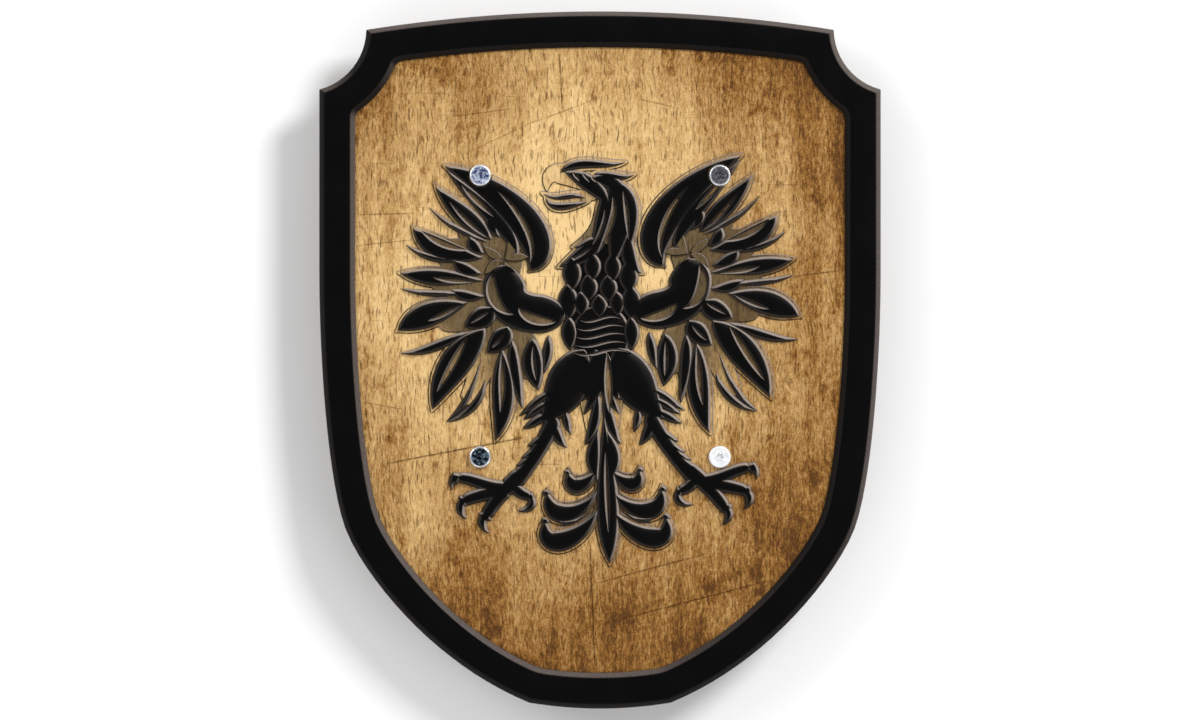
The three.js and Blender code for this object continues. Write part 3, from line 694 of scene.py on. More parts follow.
def ranged(tree, value, low, high, to_low=0.0, to_high=1.0):
    """value taken from low..high to to_low..to_high, held at the ends."""
    return add_node(tree, "ShaderNodeMapRange", {
        "Value": value, "From Min": low, "From Max": high, "To Min": to_low, "To Max": to_high,
    }).outputs["Result"]


def mapped(tree, vector, scale, location=(0, 0, 0), turn=0.0):
    return add_node(tree, "ShaderNodeMapping", {
        "Vector": vector, "Scale": scale, "Location": location,
        "Rotation": (0, 0, math.radians(turn)),
    }).outputs["Vector"]


def noise(tree, vector, scale=1.0, detail=2.0, roughness=0.5):
    return add_node(tree, "ShaderNodeTexNoise", {
        "Vector": vector, "Scale": scale, "Detail": detail, "Roughness": roughness,
    }).outputs["Fac"]


def mixed(tree, factor, first, second, blend="MIX"):
    return add_node(tree, "ShaderNodeMix", {0: factor, 6: first, 7: second},
                    data_type="RGBA", blend_type=blend).outputs[2]


def ramp(tree, value, stops):
    made = add_node(tree, "ShaderNodeValToRGB", {"Fac": value})
    elements = made.color_ramp.elements
    while len(elements) < len(stops):
        elements.new(0.5)
    for element, (position, colour) in zip(elements, stops):
        element.position = position
        element.color = colour
    return made.outputs["Color"]


def new_group(name, inputs, outputs):
    """An empty shader node group with these sockets, and its input and output nodes."""
    group = bpy.data.node_groups.new(name, "ShaderNodeTree")
    for label, kind, default in inputs:
        socket = group.interface.new_socket(name=label, in_out="INPUT", socket_type=kind)
        if default is not None:
            socket.default_value = default
    for label, kind in outputs:
        group.interface.new_socket(name=label, in_out="OUTPUT", socket_type=kind)
    return group, group.nodes.new("NodeGroupInput"), group.nodes.new("NodeGroupOutput")


def use_group(tree, name, feeds):
    return add_node(tree, "ShaderNodeGroup", feeds, node_tree=bpy.data.node_groups[name])


def shaded(colour, factor):
    """The colour times factor, still opaque."""
    return [part * factor for part in colour[:3]] + [1]


FLOAT, VECTOR, COLOUR = "NodeSocketFloat", "NodeSocketVector", "NodeSocketColor"


def make_line_mark():
    """Mask of one straight mark: 1 on the line from Start to End, fading over Width."""
    tree, given, out = new_group(
        "line_mark",
        [("Place", VECTOR, None), ("Start", VECTOR, None), ("End", VECTOR, None),
         ("Width", FLOAT, 1.0), ("Strength", FLOAT, 1.0)],
        [("Mask", FLOAT)])
    reach = vector_maths(tree, "SUBTRACT", given.outputs["End"], given.outputs["Start"])
    here = vector_maths(tree, "SUBTRACT", given.outputs["Place"], given.outputs["Start"])
    along = vector_maths(tree, "DOT_PRODUCT", here, reach, out=1)
    whole = vector_maths(tree, "DOT_PRODUCT", reach, reach, out=1)
    share = maths(tree, "DIVIDE", along, whole, clamp=True)
    nearest = add_node(tree, "ShaderNodeVectorMath", {0: reach, "Scale": share},
                       operation="SCALE").outputs[0]
    apart = vector_maths(tree, "DISTANCE", here, nearest, out=1)
    both_ends = maths(tree, "MULTIPLY", share, maths(tree, "SUBTRACT", 1.0, share))
    ends = maths(tree, "MULTIPLY", both_ends, 14.0, clamp=True)
    reached = maths(tree, "MULTIPLY", given.outputs["Width"], 0.9)
    mask = ranged(tree, apart, 0.0, reached, 1.0, 0.0)
    faded = maths(tree, "MULTIPLY", mask, maths(tree, "MULTIPLY", ends, given.outputs["Strength"]))
    tree.links.new(faded, out.inputs["Mask"])


def make_timber(colours):
    """Old beech: pores along Y, streaks, brown ageing towards the edges, splits and scratches."""
    tree, given, out = new_group(
        "timber",
        [("Place", VECTOR, None), ("Ageing", FLOAT, 0.0), ("Marks", FLOAT, 1.0)],
        [("Colour", COLOUR), ("Roughness", FLOAT), ("Height", FLOAT)])
    level = vector_maths(tree, "MULTIPLY", given.outputs["Place"], (1, 1, 0.15))
    waver = noise(tree, mapped(tree, level, (0.035, 0.035, 0.035)), detail=1)
    bent = vector_maths(tree, "ADD", level, add_node(tree, "ShaderNodeCombineXYZ", {
        "X": maths(tree, "MULTIPLY", maths(tree, "SUBTRACT", waver, 0.5), 7.0)}).outputs[0])
    parts = add_node(tree, "ShaderNodeSeparateXYZ", {0: level})
    x, y = parts.outputs["X"], parts.outputs["Y"]

    across = maths(tree, "DIVIDE", maths(tree, "ADD", x, 15.0), 260.0)
    upwards = maths(tree, "DIVIDE", maths(tree, "SUBTRACT", y, 50.0), 190.0)
    distance = maths(tree, "SQRT", maths(tree, "ADD", maths(tree, "MULTIPLY", across, across),
                                         maths(tree, "MULTIPLY", upwards, upwards)))
    tone = ranged(tree, distance, 0.1, 1.2, 0.0, 0.84)
    tone = maths(tree, "ADD", tone, ranged(tree, x, 0.0, 130.0, 0.0, 0.3))
    corner = maths(tree, "MULTIPLY", ranged(tree, maths(tree, "ABSOLUTE", x), 15.0, 110.0),
                   ranged(tree, y, 60.0, 145.0))
    tone = maths(tree, "ADD", tone, maths(tree, "MULTIPLY", corner, 0.24))
    left = maths(tree, "MULTIPLY", ranged(tree, x, -70.0, -125.0), ranged(tree, y, -90.0, 0.0))
    tone = maths(tree, "ADD", tone, maths(tree, "MULTIPLY", left, 0.08))
    apart = vector_maths(tree, "DISTANCE", level, (-52, 136, 0), out=1)
    tone = maths(tree, "ADD", tone, ranged(tree, apart, 6.0, 42.0, 0.2, 0.0))
    clouds = noise(tree, mapped(tree, level, (0.024, 0.015, 0.02), (3.1, 1.7, 0)), detail=3)
    tone = maths(tree, "ADD", tone, ranged(tree, clouds, 0.3, 0.7, -0.16, 0.16))
    streaks = noise(tree, mapped(tree, bent, (0.16, 0.009, 0.1)), detail=3, roughness=0.6)
    tone = maths(tree, "ADD", tone, ranged(tree, streaks, 0.3, 0.7, -0.13, 0.13))
    blots = noise(tree, mapped(tree, bent, (0.085, 0.05, 0.1), (7, 2, 0)), detail=4, roughness=0.65)
    stained = ranged(tree, blots, 0.54, 0.68, 0.0, 0.26)
    tone = maths(tree, "ADD", tone, stained)
    tone = maths(tree, "ADD", tone, given.outputs["Ageing"])

    fibres = noise(tree, mapped(tree, bent, (1.05, 0.3, 0.3)), detail=3, roughness=0.62)
    tone = maths(tree, "ADD", tone, ranged(tree, fibres, 0.3, 0.7, -0.2, 0.2))
    dust = noise(tree, mapped(tree, level, (1.5, 1.3, 1)), detail=2, roughness=0.7)
    tone = maths(tree, "ADD", tone, ranged(tree, dust, 0.3, 0.7, -0.13, 0.13))
    base = ramp(tree, tone, [
        (0.0, colours.timber_pale), (0.36, colours.timber_tan),
        (0.78, colours.timber_brown), (1.0, colours.timber_dark)])

    fine = noise(tree, mapped(tree, bent, (0.95, 0.13, 0.2), (11, 5, 0)), detail=1)
    pores = ranged(tree, fine, 0.59, 0.66)
    coarse = noise(tree, mapped(tree, bent, (0.62, 0.085, 0.2), (2, 9, 0)), detail=1)
    long_pores = ranged(tree, coarse, 0.68, 0.74)
    pores = maths(tree, "MAXIMUM", maths(tree, "MULTIPLY", pores, 0.7), long_pores)

    rubbed = noise(tree, mapped(tree, level, (0.03, 0.85, 0.2), (4, 4, 0), -9), detail=2)
    patch = noise(tree, mapped(tree, level, (0.03, 0.03, 0.03), (1, 8, 0)), detail=1)
    rubs = maths(tree, "MULTIPLY", ranged(tree, rubbed, 0.64, 0.72),
                 ranged(tree, patch, 0.45, 0.65))
    marks = maths(tree, "MULTIPLY", rubs, 0.45)
    broken = ranged(tree, noise(tree, mapped(tree, level, (0.35, 0.35, 0.35)), detail=1),
                    0.35, 0.55, 0.35, 1.0)
    flat = vector_maths(tree, "MULTIPLY", level, (1, 1, 0))
    for start, end, width, strength in BOARD_MARKS:
        mask = use_group(tree, "line_mark", {
            "Place": flat, "Start": (*start, 0), "End": (*end, 0),
            "Width": width, "Strength": strength}).outputs["Mask"]
        marks = maths(tree, "MAXIMUM", marks, maths(tree, "MULTIPLY", mask, broken))
    marks = maths(tree, "MULTIPLY", marks, given.outputs["Marks"])

    toned = mixed(tree, maths(tree, "MULTIPLY", pores, 0.8), base, colours.timber_dark)
    toned = mixed(tree, maths(tree, "MULTIPLY", marks, 0.85), toned, colours.timber_dark)
    tree.links.new(toned, out.inputs["Colour"])
    tree.links.new(ranged(tree, fibres, 0.3, 0.7, 0.5, 0.68), out.inputs["Roughness"])
    hollow = maths(tree, "ADD", maths(tree, "MULTIPLY", pores, 0.7), marks)
    surface = maths(tree, "ADD", maths(tree, "MULTIPLY", fibres, 0.5),
                    maths(tree, "MULTIPLY", dust, 0.3))
    tree.links.new(maths(tree, "SUBTRACT", surface, hollow), out.inputs["Height"])


def make_lacquer_highlight_and_wear():
    """Black lacquer with a painted highlight on its slopes, its unevenness and its fine ripple."""
    tree, given, out = new_group(
        "lacquer_highlight_and_wear",
        [("Place", VECTOR, None), ("Slope", FLOAT, 0.0),
         ("Highlit", COLOUR, None), ("Full", COLOUR, None)],
        [("Colour", COLOUR), ("Roughness", FLOAT), ("Height", FLOAT)])
    place = given.outputs["Place"]
    smudge = noise(tree, mapped(tree, place, (0.05, 0.05, 0.05)), detail=3)
    speck = noise(tree, mapped(tree, place, (0.7, 0.7, 0.7)), detail=2)
    uneven = ranged(tree, speck, 0.25, 0.7, 0.75, 1.1)
    # painted highlight: the slopes take the highlight colour, unevenly
    highlit_share = maths(tree, "MULTIPLY", given.outputs["Slope"], uneven, clamp=True)
    colour = mixed(tree, highlit_share, given.outputs["Full"], given.outputs["Highlit"])
    tree.links.new(colour, out.inputs["Colour"])
    tree.links.new(ranged(tree, smudge, 0.3, 0.7, 0.3, 0.42), out.inputs["Roughness"])
    ripple = noise(tree, mapped(tree, place, (0.22, 0.22, 0.22)), detail=2)
    height = maths(tree, "ADD", ripple, maths(tree, "MULTIPLY", speck, 0.15))
    tree.links.new(height, out.inputs["Height"])


def new_material(name, **constants):
    """A material with a Principled shader, the object's place in millimetres and its normal."""
    material = bpy.data.materials.new(name)
    material.use_nodes = True
    tree = material.node_tree
    shader = tree.nodes["Principled BSDF"]
    for label, value in constants.items():
        shader.inputs[label.replace("_", " ")].default_value = value
    coordinates = tree.nodes.new("ShaderNodeTexCoord")
    place = mapped(tree, coordinates.outputs["Object"], (1000, 1000, 1000))
    return material, tree, shader, place, coordinates.outputs["Normal"]


def surfaced(tree, shader, colour, roughness, height, depth):
    """Feeds the shader, with height as a bump of depth metres."""
    tree.links.new(colour, shader.inputs["Base Color"])
    tree.links.new(roughness, shader.inputs["Roughness"])
    bump = add_node(tree, "ShaderNodeBump", {"Height": height, "Strength": 1.0, "Distance": depth})
    tree.links.new(bump.outputs["Normal"], shader.inputs["Normal"])


def slope_highlight(tree, normal):
    """Mask of the painted highlight on slopes: 1 facing up and right, little elsewhere, 0 on flats
    and walls.
    """
    upright = add_node(tree, "ShaderNodeSeparateXYZ", {0: normal}).outputs["Z"]
    steep = maths(tree, "MULTIPLY", ranged(tree, upright, 0.8, 0.99, 1.0, 0.0),
                  ranged(tree, upright, 0.1, 0.36, 0.0, 1.0))
    # painted highlight: strongest where a slope faces up and to the right
    facing = vector_maths(tree, "DOT_PRODUCT", normal, HIGHLIT_SIDE, out=1)
    return maths(tree, "MULTIPLY", steep, ranged(tree, facing, 0.0, 0.55, 0.1, 1.0))


def painted_hollow_shade(tree, place):
    """Mask of painted shade: 1 in the hollows between the feathers, fading out beyond them."""
    level = vector_maths(tree, "MULTIPLY", place, (1, 1, 0))
    shade = 0.0
    for centre, full, none in PAINTED_SHADE_SPOTS:
        apart = vector_maths(tree, "DISTANCE", level, (*centre, 0), out=1)
        shade = maths(tree, "MAXIMUM", shade, ranged(tree, apart, full, none, 1.0, 0.0))
    return shade


def timber_material(name):
    material, tree, shader, place, _ = new_material(name, Specular_IOR_Level=0.12)
    wood = use_group(tree, "timber", {"Place": place, "Ageing": 0.0, "Marks": 1.0})
    surfaced(tree, shader, wood.outputs["Colour"], wood.outputs["Roughness"],
             wood.outputs["Height"], 0.00018)
    return material


def ground_material(name, colours, least, most):
    """Timber with painted shade, darkened by most in the hollows between the feathers and by least
    beyond them.
    """
    material, tree, shader, place, _ = new_material(name, Specular_IOR_Level=0.12)
    wood = use_group(tree, "timber", {"Place": place, "Ageing": 0.05, "Marks": 0.0})
    share = ranged(tree, painted_hollow_shade(tree, place), 0.0, 1.0, least, most)
    surfaced(tree, shader, mixed(tree, share, wood.outputs["Colour"], colours.hollow),
             wood.outputs["Roughness"], wood.outputs["Height"], 0.00018)
    return material


def lacquer_material(name, thin, full, **constants):
    # the first colour is the painted highlight on the slopes, the second the full black
    material, tree, shader, place, normal = new_material(name, **constants)
    coat = use_group(tree, "lacquer_highlight_and_wear", {
        "Place": place, "Slope": slope_highlight(tree, normal),
        "Highlit": thin, "Full": full})
    surfaced(tree, shader, coat.outputs["Colour"], coat.outputs["Roughness"],
             coat.outputs["Height"], 0.00006)
    return material


def steel_material(name, bright, dark, mottle, metallic, roughness, highlight_ring_at=None, sparse=0.0):
    """Plated steel mottled between two tones, with a painted highlight ring round the given centre.

    mottle is how fine the mottling is, and sparse how little of it is bright.
    """
    material, tree, shader, place, _ = new_material(name, Metallic=metallic)
    # on the bolt heads these bright and dark patches are painted reflections
    patches = noise(tree, mapped(tree, place, (mottle, mottle, mottle)), detail=3, roughness=0.6)
    colour = ramp(tree, patches, [(0.4 + sparse, dark), (0.6 + sparse, bright)])
    if highlight_ring_at is not None:
        level = vector_maths(tree, "MULTIPLY", place, (1, 1, 0))
        apart = vector_maths(tree, "DISTANCE", level, (highlight_ring_at.x, highlight_ring_at.y, 0), out=1)
        # painted highlight: a bright ring round the head
        colour = mixed(tree, ranged(tree, apart, 4.5, 5.2, 0.0, 0.85), colour, (0.9, 0.92, 0.95, 1))
    rough = ranged(tree, patches, 0.3, 0.7, roughness * 1.3, roughness * 0.8)
    surfaced(tree, shader, colour, rough, patches, 0.0002)
    return material


def leather_material(colours):
    material, tree, shader, place, _ = new_material("strap_leather", Specular_IOR_Level=0.35)
    grain = add_node(tree, "ShaderNodeTexVoronoi", {
        "Vector": place, "Scale": 0.95, "Randomness": 1.0,
    }, feature="DISTANCE_TO_EDGE").outputs["Distance"]
    creases = ranged(tree, grain, 0.0, 0.12, 0.0, 1.0)
    tone = noise(tree, mapped(tree, place, (0.07, 0.035, 0.07)), detail=4, roughness=0.6)
    brown = ramp(tree, tone, [
        (0.3, shaded(colours.leather, 0.5)), (0.52, colours.leather),
        (0.72, shaded(colours.leather, 1.8))])
    worn = mixed(tree, ranged(tree, creases, 0.0, 1.0, 0.5, 0.0), brown, (0.02, 0.008, 0.004, 1))
    surfaced(tree, shader, worn, ranged(tree, tone, 0.3, 0.7, 0.62, 0.45), creases, 0.00012)
    return material


def thread_material(colours):
    material, tree, shader, place, _ = new_material("waxed_thread", Specular_IOR_Level=0.4)
    twist = add_node(tree, "ShaderNodeTexWave", {
        "Vector": mapped(tree, place, (1, 1, 1), turn=35), "Scale": 0.9, "Distortion": 1.0,
    }).outputs["Fac"]
    colour = ramp(tree, twist, [(0.0, shaded(colours.thread, 0.5)), (0.7, colours.thread)])
    surfaced(tree, shader, colour, ranged(tree, twist, 0.0, 1.0, 0.7, 0.5), twist, 0.0001)
    return material


def make_finishes(colours):
    """Every material of the shield, by name."""
    make_line_mark()
    make_timber(colours)
    make_lacquer_highlight_and_wear()
    return {
        "board": timber_material("board_timber"),
        # emblem ground: timber with painted shade between the feathers; the hollow one, darker
        # still, for the floors of the grooves and the petals
        "ground": ground_material("emblem_ground_timber", colours, 0.12, 0.84),
        "hollow": ground_material("emblem_hollow_timber", colours, 0.66, 0.9),
        # rim and eagle lacquer: black, with a painted highlight on the slopes that face up and
        # right
        "rim": lacquer_material(
            "rim_lacquer", colours.rim_highlight, colours.lacquer, Specular_IOR_Level=0.07),
        "emblem": lacquer_material(
            "emblem_lacquer", colours.lacquer_highlight, colours.lacquer, Specular_IOR_Level=0.08),
        # the bolts' bright and dark patches are painted reflections, and their pale rings painted
        # highlights
        "upper_left": steel_material(
            "bolt_mottled", (0.75, 0.82, 1, 1), (0.04, 0.06, 0.17, 1), 0.62, 0.75, 0.3,
            bolt_centre("upper_left"), 0.02),
        "upper_right": steel_material(
            "bolt_grey", (0.22, 0.22, 0.25, 1), (0.04, 0.04, 0.05, 1), 0.8, 0.8, 0.25,
            bolt_centre("upper_right")),
        "lower_left": steel_material(
            "bolt_blued", (0.3, 0.42, 0.52, 1), (0.004, 0.007, 0.014, 1), 0.55, 0.9, 0.2,
            bolt_centre("lower_left"), 0.09),
        "lower_right": steel_material(
            "bolt_white", (0.95, 0.96, 0.97, 1), (0.72, 0.74, 0.76, 1), 0.6, 0.35, 0.35,
            bolt_centre("lower_right")),
        "zinc": steel_material(
            "zinc_steel", (0.62, 0.63, 0.66, 1), (0.42, 0.43, 0.46, 1), 0.8, 0.95, 0.34),
        "leather": leather_material(colours),
        "thread": thread_material(colours),
    }


FINISHES = {}


class SHIELD_OT_make_finishes(bpy.types.Operator):
    """Make the timber, lacquer, steel and leather finishes"""

    bl_idname = "shield.make_finishes"
    bl_label = "Make Finishes"

    def execute(self, context):
        FINISHES.update(make_finishes(context.scene.shield_colours))
        return {"FINISHED"}


class SHIELD_OT_make_rim(bpy.types.Operator):
    """Make the black frame with its sloped edges and the rebate for the board"""

    bl_idname = "shield.make_rim"
    bl_label = "Make Rim"

    def execute(self, context):
        sizes = context.scene.shield_sizes
        width = sizes.rim_width / MM
        chamfer = sizes.rim_chamfer / MM
        rebate = width - sizes.rim_lap / MM
        rounding = sizes.opening_rounding / MM
        slope_z = RIM_TOP_Z - chamfer
        section = [
            (0, BACK_Z, RIM_ROUNDING), (0, slope_z, RIM_ROUNDING), (chamfer, RIM_TOP_Z, 0.8),
            (width - chamfer, RIM_TOP_Z, rounding), (width, slope_z, rounding),
            (width, FRONT_Z, rounding), (rebate, FRONT_Z, rounding), (rebate, BACK_Z, rounding),
        ]
        loops = [(shield_outline(inset, corner), z) for inset, z, corner in section]
        around = len(loops[0][0])

        def place(column, row):
            points, z = loops[row % len(loops)]
            point = points[column % around]
            return (point.x, point.y, z)

        bm = bmesh.new()
        formed_grid(bm, around, len(section), place)
        bmesh.ops.recalc_face_normals(bm, faces=bm.faces)
        arrises = [edge for edge in bm.edges if edge.calc_face_angle(0) > math.radians(30)
                   and abs(edge.verts[0].co.z - edge.verts[1].co.z) < 0.01
                   and edge.verts[0].co.z > BACK_Z - 1]
        bevelled(bm, arrises, ARRIS, 3)
        finished(bm, "frame_rim", ["rim"], [FINISHES["rim"]])
        return {"FINISHED"}


class SHIELD_OT_make_board(bpy.types.Operator):
    """Make the timber board with its bolt holes, splits and scratches"""

    bl_idname = "shield.make_board"
    bl_label = "Make Board"

    def execute(self, context):
        outline = shield_outline(HALF_WIDTH - BOARD_HIGH.x, BOARD_ROUNDING)
        bm = bmesh.new()
        face = bmesh.ops.create_circle(bm, cap_ends=True, segments=len(outline), radius=1)
        for vert, point in zip(face["verts"], outline):
            vert.co = (point.x, point.y, BOARD_LOW.z)
        raised(bm, BOARD_HIGH.z - BOARD_LOW.z)
        tools = []
        for place in PLACES:
            centre = bolt_centre(place)
            hole = peg(BOLT_HOLE_RADIUS, BACK_Z - 2, FRONT_Z + 2, HOLE_STEPS)
            tools.append(placed(hole, centre.x, centre.y))
        for start, end, width, strength in BOARD_MARKS:
            first, last = Vector(start), Vector(end)
            bow = (last - first).orthogonal().normalized() * 0.5
            bend = (first.lerp(last, 0.33) + bow, first.lerp(last, 0.66) - bow)
            bottom = FRONT_Z - 0.5 * strength
            tools.append(stroke_solid(
                (first, *bend, last, width, 0.5), FRONT_Z + 0.04, bottom, FRONT_Z + 1, 0.5, 3))
        board = carved(bm, "DIFFERENCE", tools, [FINISHES["board"]])
        finished(board, "timber_board", ["panel"], [FINISHES["board"]], 20)
        return {"FINISHED"}


class SHIELD_OT_make_eagle(bpy.types.Operator):
    """Carve the eagle from its strokes and cut it clear of the bolts"""

    bl_idname = "shield.make_eagle"
    bl_label = "Make Eagle"

    def execute(self, context):
        sizes = context.scene.shield_sizes
        step = sizes.feather_step / MM
        slope = sizes.relief_slope / MM
        margin = sizes.ground_margin / MM
        ground_z = FRONT_Z + sizes.ground_height / MM
        top_z = FRONT_Z + sizes.relief_height / MM
        scales = [(*[(x, y + length * share) for share in (1, 0.7, 0.35, 0)], width, 0.5)
                  for x, y, length, width in BREAST_SCALES]
        rows = [((1 - half, y), (-3, y - 5), (4, y + 5), (1 + half, y - 1), 2, 0.5)
                for y, half in BELLY_ROWS]
        edged = both_sides(BIG_FEATHERS + TAIL_SIDE[2:5] + GROUND_FILL) + HEAD_AND_NECK[:2]
        edged += HEAD_AND_NECK[4:] + TAIL_MIDDLE
        plumage = both_sides(BIG_FEATHERS + SECOND_FEATHERS + WING_ARM + TAIL_SIDE)
        plumage += HEAD_AND_NECK + TAIL_MIDDLE
        limbs = both_sides(THIN_FEATHERS + LEG + LEG_BARBS + TOES + TOE_JOINTS)
        grooves = both_sides(WING_GROOVES + THIGH_GROOVES) + NECK_GROOVES + BODY_GROOVES + rows

        foot_z, low_foot_z = FRONT_Z + 0.4, FRONT_Z + 0.2
        ground = (low_foot_z, ground_z, FRONT_Z, 0.6, step * 1.6)
        body_ground = (low_foot_z, ground_z + 0.15, FRONT_Z, 0.6, step * 1.6)
        solids = stroke_solids(edged, *ground, margin, TIMBER)
        solids += stroke_solids(BEAK, *ground, 0.2, TIMBER)
        solids += stroke_solids([BODY_GROUND], *body_ground)
        solids += stroke_solids([BELLY], foot_z, top_z - 0.7, FRONT_Z, slope, step)
        solids += stroke_solids(plumage, foot_z, top_z, FRONT_Z, slope, step, 0.45)
        solids += stroke_solids(limbs, FRONT_Z + 0.15, top_z, FRONT_Z, slope, step)
        finishes = [FINISHES["ground"], FINISHES["emblem"], FINISHES["hollow"]]
        eagle = carved(solids[0], "UNION", solids[1:], finishes)

        cut_from, cut_to = top_z + 0.05, top_z + 2
        cuts = stroke_solids(grooves, cut_from, ground_z + 0.1, cut_to, 1.2, step, 0.1, HOLLOW)
        cuts += stroke_solids(FACE_CUTS, cut_from, top_z - 1.1, cut_to, 0.8, step)
        eagle = carved(eagle, "DIFFERENCE", cuts, finishes)

        petals = both_sides(STAR_PETALS)
        small = stroke_solids(scales, foot_z, top_z, FRONT_Z, slope * 0.9, step)
        small += stroke_solids(petals, foot_z, top_z - 0.15, FRONT_Z, 0.7, step, 0, HOLLOW)
        eagle = spun(carved(eagle, "UNION", small, finishes), EAGLE_TURN)

        seats = []
        for place in PLACES:
            centre = bolt_centre(place)
            seat = peg(SEAT_RADIUS, FRONT_Z - 1, RIM_TOP_Z + 1, sizes.turned_steps)
            for face in seat.faces:
                face.material_index = LACQUER
            seats.append(placed(seat, centre.x, centre.y))
        eagle = carved(eagle, "DIFFERENCE", seats, finishes)
        finished(eagle, "eagle_relief", ["eagle"], finishes, 40)
        return {"FINISHED"}


class SHIELD_OT_make_bolts(bpy.types.Operator):
    """Make the four bolts with their six-lobed recesses"""

    bl_idname = "shield.make_bolts"
    bl_label = "Make Bolts"

    def execute(self, context):
        steps = context.scene.shield_sizes.turned_steps
        for number, place in enumerate(PLACES):
            low, high = node_box("bolt_" + place)
            radius = (high.x - low.x) / 2
            height = high.z - FRONT_Z
            tip = low.z - FRONT_Z
            shoulder = height - 1.3
            profile = [
                (0, tip + 0.3), (2.1, tip), (SHANK_RADIUS, tip + 0.4), (SHANK_RADIUS, 0),
                (radius - 0.15, 0), (radius, 0.15), (radius, shoulder)]
            profile += [(radius - 1.1 + 1.1 * math.cos(angle), shoulder + 1.3 * math.sin(angle))
                        for angle in (0.35, 0.75, 1.15, 1.57)]
            profile += [
                (radius - 1.5, height - 0.06), (radius - 1.75, height - 0.28),
                (radius - 2.1, height - 0.32), (2.6, height - 0.24), (0, height - 0.2)]
            recess = bmesh.new()
            star = bmesh.ops.create_circle(recess, cap_ends=True, segments=LOBE_STEPS, radius=1)
            for i, vert in enumerate(star["verts"]):
                angle = i / LOBE_STEPS * 2 * math.pi
                reach = 1.9 + 0.35 * math.cos(6 * angle)
                vert.co = (reach * math.cos(angle), reach * math.sin(angle), height - RECESS_DEPTH)
            finish = [FINISHES[place]]
            bolt = carved(turned(profile, steps), "DIFFERENCE", [raised(recess, 3)], finish)
            centre = bolt_centre(place)
            placed(spun(bolt, BOLT_SPIN * number), centre.x, centre.y, FRONT_Z)
            finished(bolt, "steel_bolt_" + place, ["bolt_" + place], finish)
        return {"FINISHED"}


class SHIELD_OT_make_washers_and_nuts(bpy.types.Operator):
    """Make the washers and the domed nuts behind the straps"""

    bl_idname = "shield.make_washers_and_nuts"
    bl_label = "Make Washers and Nuts"

    def execute(self, context):
        steps = context.scene.shield_sizes.turned_steps
        zinc = [FINISHES["zinc"]]
        for place in PLACES:
            centre = bolt_centre(place)
            low, high = node_box("washer_" + place)
            outer = (high.x - low.x) / 2
            ring = turned([
                (BORE_RADIUS, low.z + 0.2), (2.8, low.z), (outer - 0.3, low.z),
                (outer, low.z + 0.3), (outer, high.z - 0.2), (outer - 0.2, high.z),
                (BORE_RADIUS, high.z)], steps)
            finished(placed(ring, centre.x, centre.y), "zinc_washer_" + place,
                     ["washer_" + place], zinc)
            low, high = node_box("nut_" + place)
            corner = (high.x - low.x) / 2
            turn = Matrix.Rotation(math.radians(90), 4, "Z")
            hexagon = bmesh.new()
            bmesh.ops.create_cone(
                hexagon, cap_ends=True, segments=6, radius1=corner, radius2=corner, depth=4,
                matrix=Matrix.Translation((0, 0, high.z - 2)) @ turn)
            bevelled(hexagon, hexagon.edges[:], 0.3, 2)
            dome = corner * 0.8
            cap = [(0, high.z - 1), (dome, high.z - 1)]
            cap += [(dome * math.cos(angle), high.z - 4 - 2 * math.sin(angle))
                    for angle in (0, 0.3, 0.6, 0.9, 1.2, 1.4)]
            cap.append((0, low.z))
            nut = carved(hexagon, "UNION", [turned(cap, steps)], zinc)
            bore = peg(BORE_RADIUS, high.z - 4, high.z + 1, steps)
            nut = carved(nut, "DIFFERENCE", [bore], zinc)
            finished(placed(nut, centre.x, centre.y), "cap_nut_" + place,
                     ["nut_" + place], zinc)
        return {"FINISHED"}


class StrapPath:
    """The centre line of a strap, from one end tab down to its level run and up to the other."""

    def __init__(self, low, high):
        self.centre = (low + high) / 2
        drop = high.z - low.z - 2 * STRAP_HALF_THICK
        end = (high.y - low.y) / 2
        level_to = end - RAMP_FROM_END - RAMP_LENGTH
        self.line = [Vector((0, STRAP_HALF_THICK))]
        for i in range(RAMP_STEPS + 1):
            rise = drop * (0.5 - 0.5 * math.cos(math.pi * i / RAMP_STEPS))
            self.line.append(Vector(
                (level_to + RAMP_LENGTH * i / RAMP_STEPS, STRAP_HALF_THICK + rise)))
        self.line.append(Vector((end, STRAP_HALF_THICK + drop)))
        self.lengths = [0.0]
        for first, second in zip(self.line, self.line[1:]):
            self.lengths.append(self.lengths[-1] + (second - first).length)

    def bent(self, along, height):
        """y and z of a point that lies along the flat strap at that distance from its middle."""
        distance = min(abs(along), self.lengths[-1])
        k = next(k for k in range(1, len(self.lengths)) if self.lengths[k] >= distance - 1e-6)
        first, second = self.line[k - 1], self.line[k]
        share = (distance - self.lengths[k - 1]) / (self.lengths[k] - self.lengths[k - 1])
        before = (first - self.line[k - 2]).normalized() if k > 1 else Vector((1, 0))
        after = (second - first).normalized()
        following = (self.line[k + 1] - second).normalized() if k + 1 < len(self.line) else after
        start = (before + after).normalized()
        stop = (after + following).normalized()
        direction = start.lerp(stop, share).normalized()
        point = first.lerp(second, share) + Vector((-direction.y, direction.x)) * height
        return self.centre.y + math.copysign(point.x, along), point.y

    def bend(self, bm):
        """Bend a flat bmesh, its middle on the Z axis and its length along Y, to the line."""
        for vert in bm.verts:
            y, z = self.bent(vert.co.y, vert.co.z)
            vert.co = (self.centre.x + vert.co.x, y, z)


